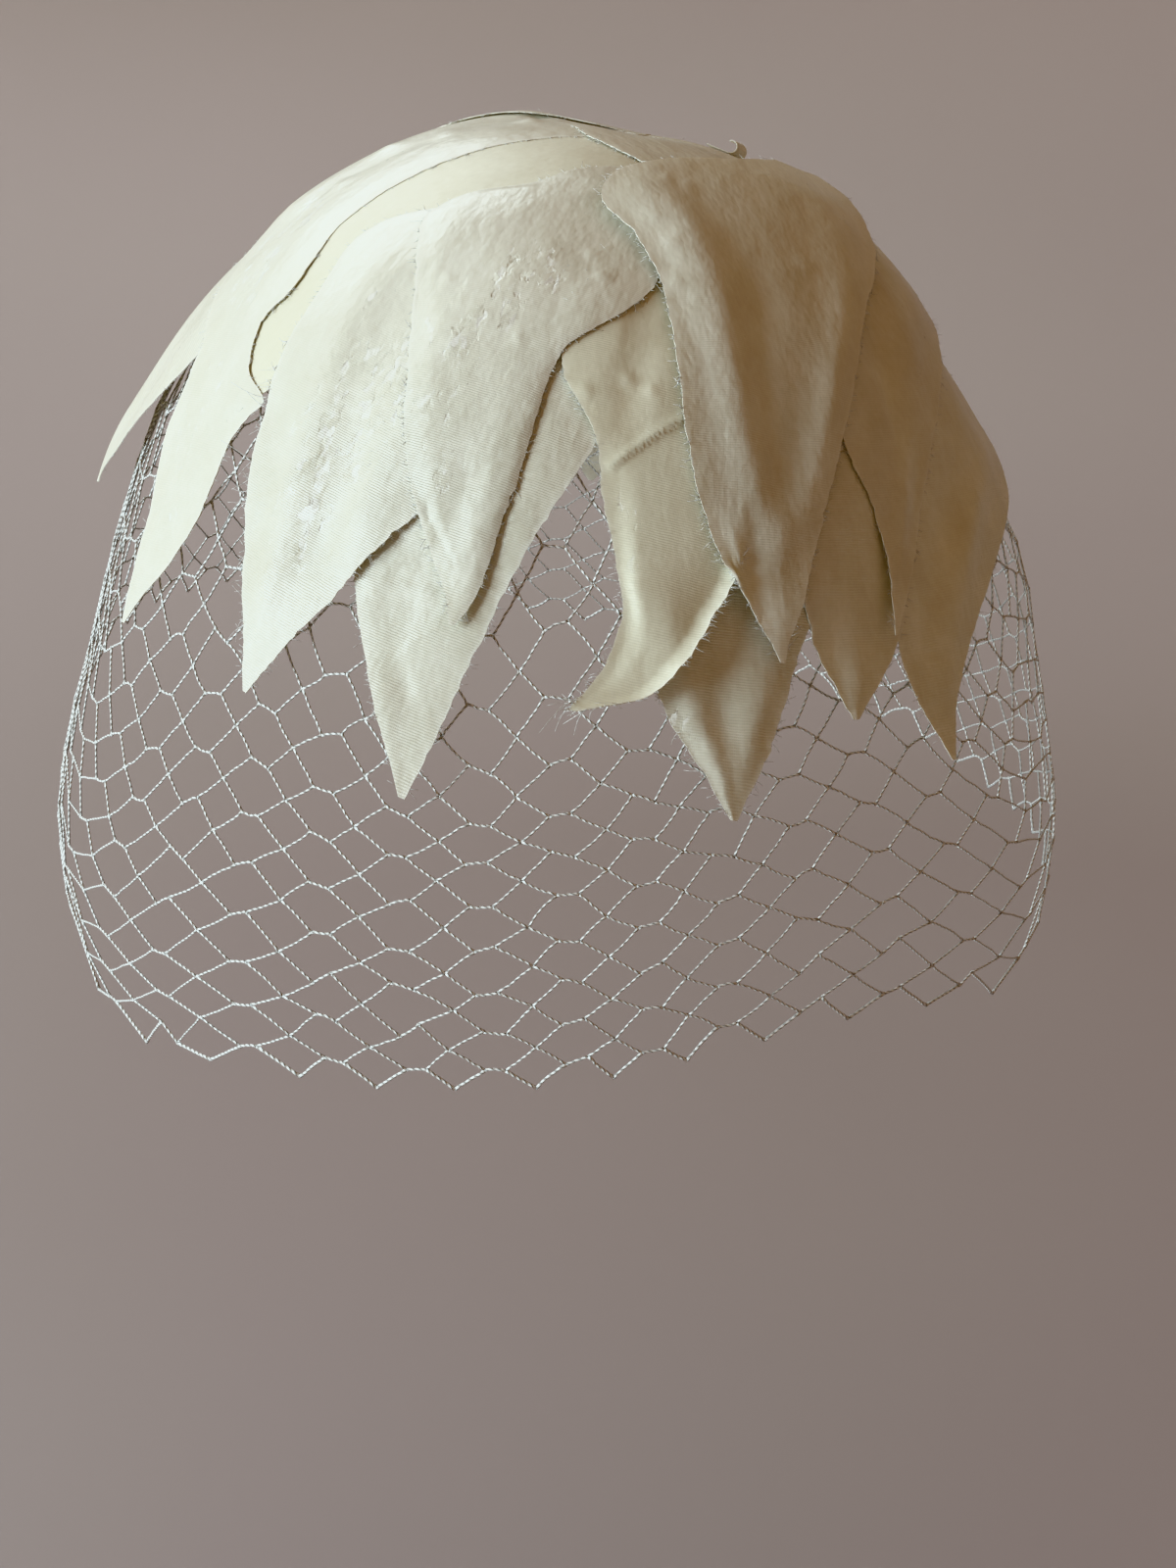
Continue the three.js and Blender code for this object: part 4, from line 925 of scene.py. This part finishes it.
veil = {
    "columns": 40, "rows": 14, "barLength": 3.9, "height": -0.45, "thread": 0.2, "barThread": 0.23,
    "hemThread": 0.28, "knotSwell": 0.35, "knotLength": 0.09, "untidy": 0.35, "sway": 0.16,
    # height of the hem all round: azimuth, z
    "hem": [(-180, -122), (-150, -108), (-120, -102), (-98, -106), (-86, -125), (-76, -147), (-66, -161),
            (-52, -163), (-35, -158), (-10, -155), (5, -152), (20, -147), (32, -147), (45, -151), (60, -157),
            (75, -150), (90, -146), (115, -143), (150, -132), (180, -122)],
    # row number to distance up from the hem, in front and at the sides
    "frontRows": [(0.5, 0), (1, 4.4), (2, 12.3), (3, 20), (4, 27), (5, 34.5), (6, 41.6), (7, 48.6), (8, 57.4),
                  (9, 67.9), (10, 79.8), (11, 93.5), (12, 107.9), (13, 123), (16, 166)],
    "sideRows": [(0.5, 0), (1, 4.5), (2, 13), (3, 22), (4, 31), (5, 40.5), (6, 50), (7, 59.5), (8, 69.5),
                 (9, 80), (10, 91.5), (11, 104), (12, 117), (13, 130), (16, 168)],
    # column number to azimuth, at the hem and higher up
    "hemColumns": [(-20, -180), (-14, -131), (-7.5, -80), (-6.5, -66), (-5.5, -52.3), (-4.5, -39.1),
                   (-3.5, -27.2), (-2.5, -18.3), (-1.5, -10), (-0.5, -2), (0.5, 5.4), (1.5, 12.5),
                   (2.5, 20.4), (3.5, 29.7), (4.5, 40.8), (5.5, 55), (6.5, 71.5), (7.5, 84), (14, 134),
                   (20, 180)],
    "upperColumns": [(-20, -180), (-14, -124), (-8, -66), (0, 0), (8, 66), (14, 124), (20, 180)],
}
halfRound = veil["columns"] // 2
hemChart = {"azimuths": 145, "drops": 601, "reach": 150, "ups": 301}  # the table of places up from the hem


def arcTable():
    # for each azimuth, the drop at each distance up from the hem, worked out along the dome's meridian
    azimuth = np.linspace(-180, 180, hemChart["azimuths"])[:, None]
    drop = np.linspace(30, 150, hemChart["drops"])[None]
    line = domePoint(azimuth + 0 * drop, drop + 0 * azimuth)
    steps = np.linalg.norm(np.diff(line, axis=1), axis=-1)
    gone = np.concatenate([np.zeros((len(steps), 1)), np.cumsum(steps, 1)], 1)
    hemAt = np.argmax(line[..., 2] < readTable(veil["hem"], azimuth[:, 0])[:, None], 1)
    up = np.linspace(0, hemChart["reach"], hemChart["ups"])
    return np.array([np.interp(row[place] - up, row, drop[0]) for row, place in zip(gone, hemAt)])


arcDrops = arcTable()


def dropUp(azimuth, up):
    u = (azimuth + 180) / 360 * (hemChart["azimuths"] - 1)
    v = np.clip(up / hemChart["reach"] * (hemChart["ups"] - 1), 0, hemChart["ups"] - 1.2)
    return sample(arcDrops, u, v)


def netPlace(column, row):
    # the azimuth and drop of a knot, from its column and its row counted up from the hem
    wrapped = (column + halfRound) % veil["columns"] - halfRound
    nominal = readTable(veil["upperColumns"], wrapped)
    toSide = smooth(8, 42, np.abs(nominal))
    up = readTable(veil["frontRows"], row) * (1 - toSide) + readTable(veil["sideRows"], row) * toSide
    spread = 1 - smooth(0, 62, up)
    azimuth = spread * readTable(veil["hemColumns"], wrapped) + (1 - spread) * nominal
    return azimuth, dropUp(azimuth, up)


def netThreads():
    # bars at whole columns and rows, crossings halfway between; four strands join each bar's ends to
    # crossings
    chance = np.random.default_rng(7)
    column, row = np.meshgrid(np.arange(-halfRound, halfRound, 1.0), np.arange(1, veil["rows"] + 1.0),
                              indexing="ij")
    crossRow = np.concatenate([row[:, :1] - 0.5, row + 0.5], 1)
    crossColumn = np.concatenate([column[:, :1], column], 1) + 0.5
    share = np.linspace(0, 1, 7)[:, None]
    bundles = []

    def loosen(azimuth, drop):
        return (azimuth + chance.normal(0, veil["untidy"] * 0.5, azimuth.shape),
                drop + chance.normal(0, veil["untidy"] * 0.35, drop.shape))

    def knots(azimuth, drop):
        return domeOffset(azimuth, drop, np.full(azimuth.shape, veil["height"]))

    def addStrands(begin, end, radius):
        # straight from knot to knot with a slight sway, thicker at the knots
        begin, end, radius = begin[shown], end[shown], radius[shown]
        path = begin[:, None] * (1 - share) + end[:, None] * share
        away = unit(path - [0, 0, dome["centreZ"]])
        sideways = unit(np.cross(end - begin, away[:, 0]))
        sway = chance.normal(0, veil["sway"], (len(begin), 1, 1)) * np.sin(np.pi * share)
        sway = sway + chance.normal(0, 0.05, (len(begin), len(share), 1))
        swell = 1 + veil["knotSwell"] * (bell(share[:, 0], 0, veil["knotLength"])
                                         + bell(share[:, 0], 1, veil["knotLength"]))
        bundles.append((path + sway * sideways[:, None], radius[:, None] * swell, away))

    barAzimuth, barDrop = loosen(*netPlace(column, row))
    cross = knots(*loosen(*netPlace(crossColumn, crossRow)))
    crossLeft = np.roll(cross, 1, axis=0)  # the crossings to the left of each bar
    middle = domePoint(barAzimuth, barDrop)
    half = np.degrees(veil["barLength"] / 2 / np.hypot(middle[..., 0], middle[..., 1]))
    half = half * chance.normal(1, 0.06, half.shape)
    slant = chance.normal(0, 0.25, half.shape)
    barLeft, barRight = knots(barAzimuth - half, barDrop + slant), knots(barAzimuth + half, barDrop - slant)
    shown = barDrop > cap["rimDrop"] - 1.5
    plain = np.full(barDrop.shape, veil["thread"])
    lower = plain.copy()
    lower[:, 0] = veil["hemThread"]
    for bar, crossing in ((barRight, cross), (barLeft, crossLeft)):
        addStrands(bar, crossing[:, 1:], plain)
        addStrands(bar, crossing[:, :-1], lower)
    addStrands(barLeft, barRight, np.full(barDrop.shape, veil["barThread"]))
    return bundles


veilBundles = netThreads()
dress(tubePiece("veil_net", veilBundles, 5), "net", ["veil"])
print("veil netted:", sum(len(paths) for paths, _, _ in veilBundles), "threads")


fray = {
    "radius": 0.07, "points": 6, "perMillimetre": 1.3, "tuft": 2.2,
    "fuzz": {"radius": 0.06, "points": 3, "perMillimetre": 1.6, "shortest": 0.35, "longest": 1.3,
             "lean": 0.8},
}
chance = np.random.default_rng(11)


def threadPaths(base, way, bend, length, radius, points):
    # each thread leaves the cut edge and bends as it goes: base + length * (t * way + t^2 * bend), starting
    # just inside the cloth
    t = np.linspace(0, 1, points)[None, :, None]
    path = base[:, None] + length[:, None, None] * (t * way[:, None] + t**2 * bend[:, None])
    path = path - 0.15 * (1 - t) * way[:, None]
    thick = radius[:, None] * (1 - 0.5 * t[..., 0])
    return path, thick, np.repeat(unit(base - [0, 0, dome["centreZ"]])[:, None], points, 1)


def edgeFrays(leaf, points):
    # threads pulled out of one cut edge between two places along it, or a tuft at the tip
    side, begin, end, longest = leaf["frays"]
    along = np.linspace(leaf["rows"][0, 0], leaf["rows"][-1, 0], len(points))
    count = int((end - begin) * fray["perMillimetre"] * (fray["tuft"] if side == "tip" else 1))
    if side == "tip":
        i = np.full(count, len(points) - 1) - chance.integers(0, 5, count)
        edge = np.where(chance.uniform(0, 1, count) < 0.5, 0, points.shape[1] - 1)
        base = points[i, edge]
        tip = unit(points[-1, 0] - points[-8, points.shape[1] // 2]) + unit(points[-12, 0] - points[-12, -1])
        way = unit(tip)[None] + 0.35 * chance.normal(0, 1, base.shape)
    else:
        inner, rim = (points[:, 1], points[:, 0]) if side == "left" else (points[:, -2], points[:, -1])
        i = np.clip(np.searchsorted(along, chance.uniform(begin, end, count)), 1, len(along) - 2)
        base = rim[i]
        way = unit(rim[i] - inner[i]) + chance.uniform(-0.2, 1.1, (count, 1)) * unit(rim[i + 1] - rim[i - 1])
        way = way + 0.25 * chance.normal(0, 1, base.shape)
    bend = 0.45 * chance.normal(0, 1, base.shape) + 0.15 * unit(base - [0, 0, dome["centreZ"]])
    length = longest * chance.uniform(0.15, 1, count) ** 1.8
    radius = fray["radius"] * chance.uniform(0.7, 1.3, count)
    return threadPaths(base, unit(way), bend, length, radius, fray["points"])


def edgeFuzz(inner, rim):
    # the cut ends of the cross threads, short and close together along one edge
    look = fray["fuzz"]
    count = int(len(rim) * cloth["cell"] * look["perMillimetre"])
    place = chance.uniform(1, len(rim) - 2.01, count)
    i = place.astype(int)
    ahead = rim[i + 1] - rim[i]
    base = rim[i] + (place - i)[:, None] * ahead
    way = unit(unit(rim[i] - inner[i]) + look["lean"] * chance.uniform(-1, 1, (count, 1)) * unit(ahead))
    bend = 0.4 * chance.normal(0, 1, base.shape)
    length = chance.uniform(look["shortest"], look["longest"], count) ** 1.5
    radius = look["radius"] * chance.uniform(0.8, 1.2, count)
    return threadPaths(base, way, bend, length, radius, look["points"])


frayBundles = [edgeFrays(leaf, leafPoints[name]) for name, leaf in leaves.items() if "frays" in leaf]
dress(tubePiece("edge_frays", frayBundles, 4), "fray")
fuzzBundles = [edgeFuzz(points[:, inner], points[:, rim])
               for points in leafPoints.values() for inner, rim in ((1, 0), (-2, -1))]
dress(tubePiece("edge_fuzz", fuzzBundles, 3), "fray")
print("edges frayed:", sum(len(paths) for paths, _, _ in frayBundles + fuzzBundles), "threads")


studio = {  # metres, unlike the hat
    "floorZ": -0.36, "reach": 4.5, "rise": 3.0, "flatTo": 0.7,
    # the near colour is painted shade: the floor darkens towards the middle
    "paintedShadeNearColour": (0.27, 0.215, 0.2, 1), "farColour": (0.72, 0.65, 0.62, 1), "nearTo": 0.45, "farFrom": 3.05,
    "roomColour": (1.0, 0.56, 0.24, 1), "roomStrength": 0.24, "lampsAround": (0, 0, -0.08),
    # azimuth, elevation, distance, size, power, colour
    "lamps": {"window": (-64, 10, 1.35, 0.7, 33, (0.72, 0.89, 1.0)),
              "crownLight": (-148, 46, 1.5, 0.8, 12, (0.80, 0.94, 1.0)),
              "bounce": (60, 5, 1.5, 1.0, 1.2, (1.0, 0.60, 0.30)),
              "ceiling": (0, 89, 2.5, 3.0, 4, (1.0, 0.74, 0.50))},
    "camera": {"place": (0, -0.4758, 0.0174), "turn": (72.45, 0, -0.776), "lens": 54},
}


def makeFloor():
    # a disc, flat in the middle and sweeping up smoothly at its edge
    share = np.linspace(0.01, 1, 60)[:, None]
    angle = np.linspace(0, 2 * np.pi, 96, endpoint=False)[None]
    radius = studio["reach"] * share
    height = studio["floorZ"] + studio["rise"] * smooth(studio["flatTo"] / studio["reach"], 1.0, share)
    points = np.stack(np.broadcast_arrays(radius * np.cos(angle), radius * np.sin(angle), height), -1) / mm
    floor = discPiece("floor", points, points[..., :2].copy(), (0, 0, studio["floorZ"] / mm), (0, 0))
    material, tree, shader = newMaterial("studioFloor")
    place = node(tree, "ShaderNodeTexCoord").outputs["Object"]
    away = vectorCalc(tree, "LENGTH", place)
    uneven = calc(tree, "MULTIPLY_ADD", noise(tree, place, 1.4, 2.0)["Fac"], 0.5, away)
    # painted shade: darker near the middle and paler further out, the way the light falls off across the
    # backdrop
    paintedShadeFade = stretched(tree, uneven, 0.0, 1.0, studio["nearTo"], studio["farFrom"])
    feed(tree, shader, {"Base Color": blended(tree, paintedShadeFade, studio["paintedShadeNearColour"], studio["farColour"]),
                        "Roughness": 0.85})
    floor.data.materials.append(material)


def areaLight(name, azimuth, elevation, distance, size, power, colour):
    data = bpy.data.lights.new(name, "AREA")
    data.shape, data.size, data.energy, data.color = "SQUARE", size, power, colour
    light = bpy.data.objects.new(name, data)
    bpy.context.collection.objects.link(light)
    way = Vector(directionOf(azimuth, 90 - elevation))
    light.location = Vector(studio["lampsAround"]) + way * distance
    light.rotation_mode = "QUATERNION"
    light.rotation_quaternion = way.to_track_quat("Z", "Y")


def makeCamera():
    data = bpy.data.cameras.new("camera")
    data.lens, data.sensor_width = studio["camera"]["lens"], 36
    data.clip_start, data.clip_end = 0.01, 50
    camera = bpy.data.objects.new("camera", data)
    bpy.context.collection.objects.link(camera)
    camera.location = studio["camera"]["place"]
    camera.rotation_euler = [math.radians(turn) for turn in studio["camera"]["turn"]]
    bpy.context.scene.camera = camera


makeFloor()
makeCamera()
for name, lamp in studio["lamps"].items():
    areaLight(name, *lamp)
world = bpy.data.worlds.new("room")
world.use_nodes = True
feed(world.node_tree, world.node_tree.nodes["Background"],
     {"Color": studio["roomColour"], "Strength": studio["roomStrength"]})
bpy.context.scene.world = world
bpy.context.scene.view_settings.view_transform = "Khronos PBR Neutral"
print("studio set")
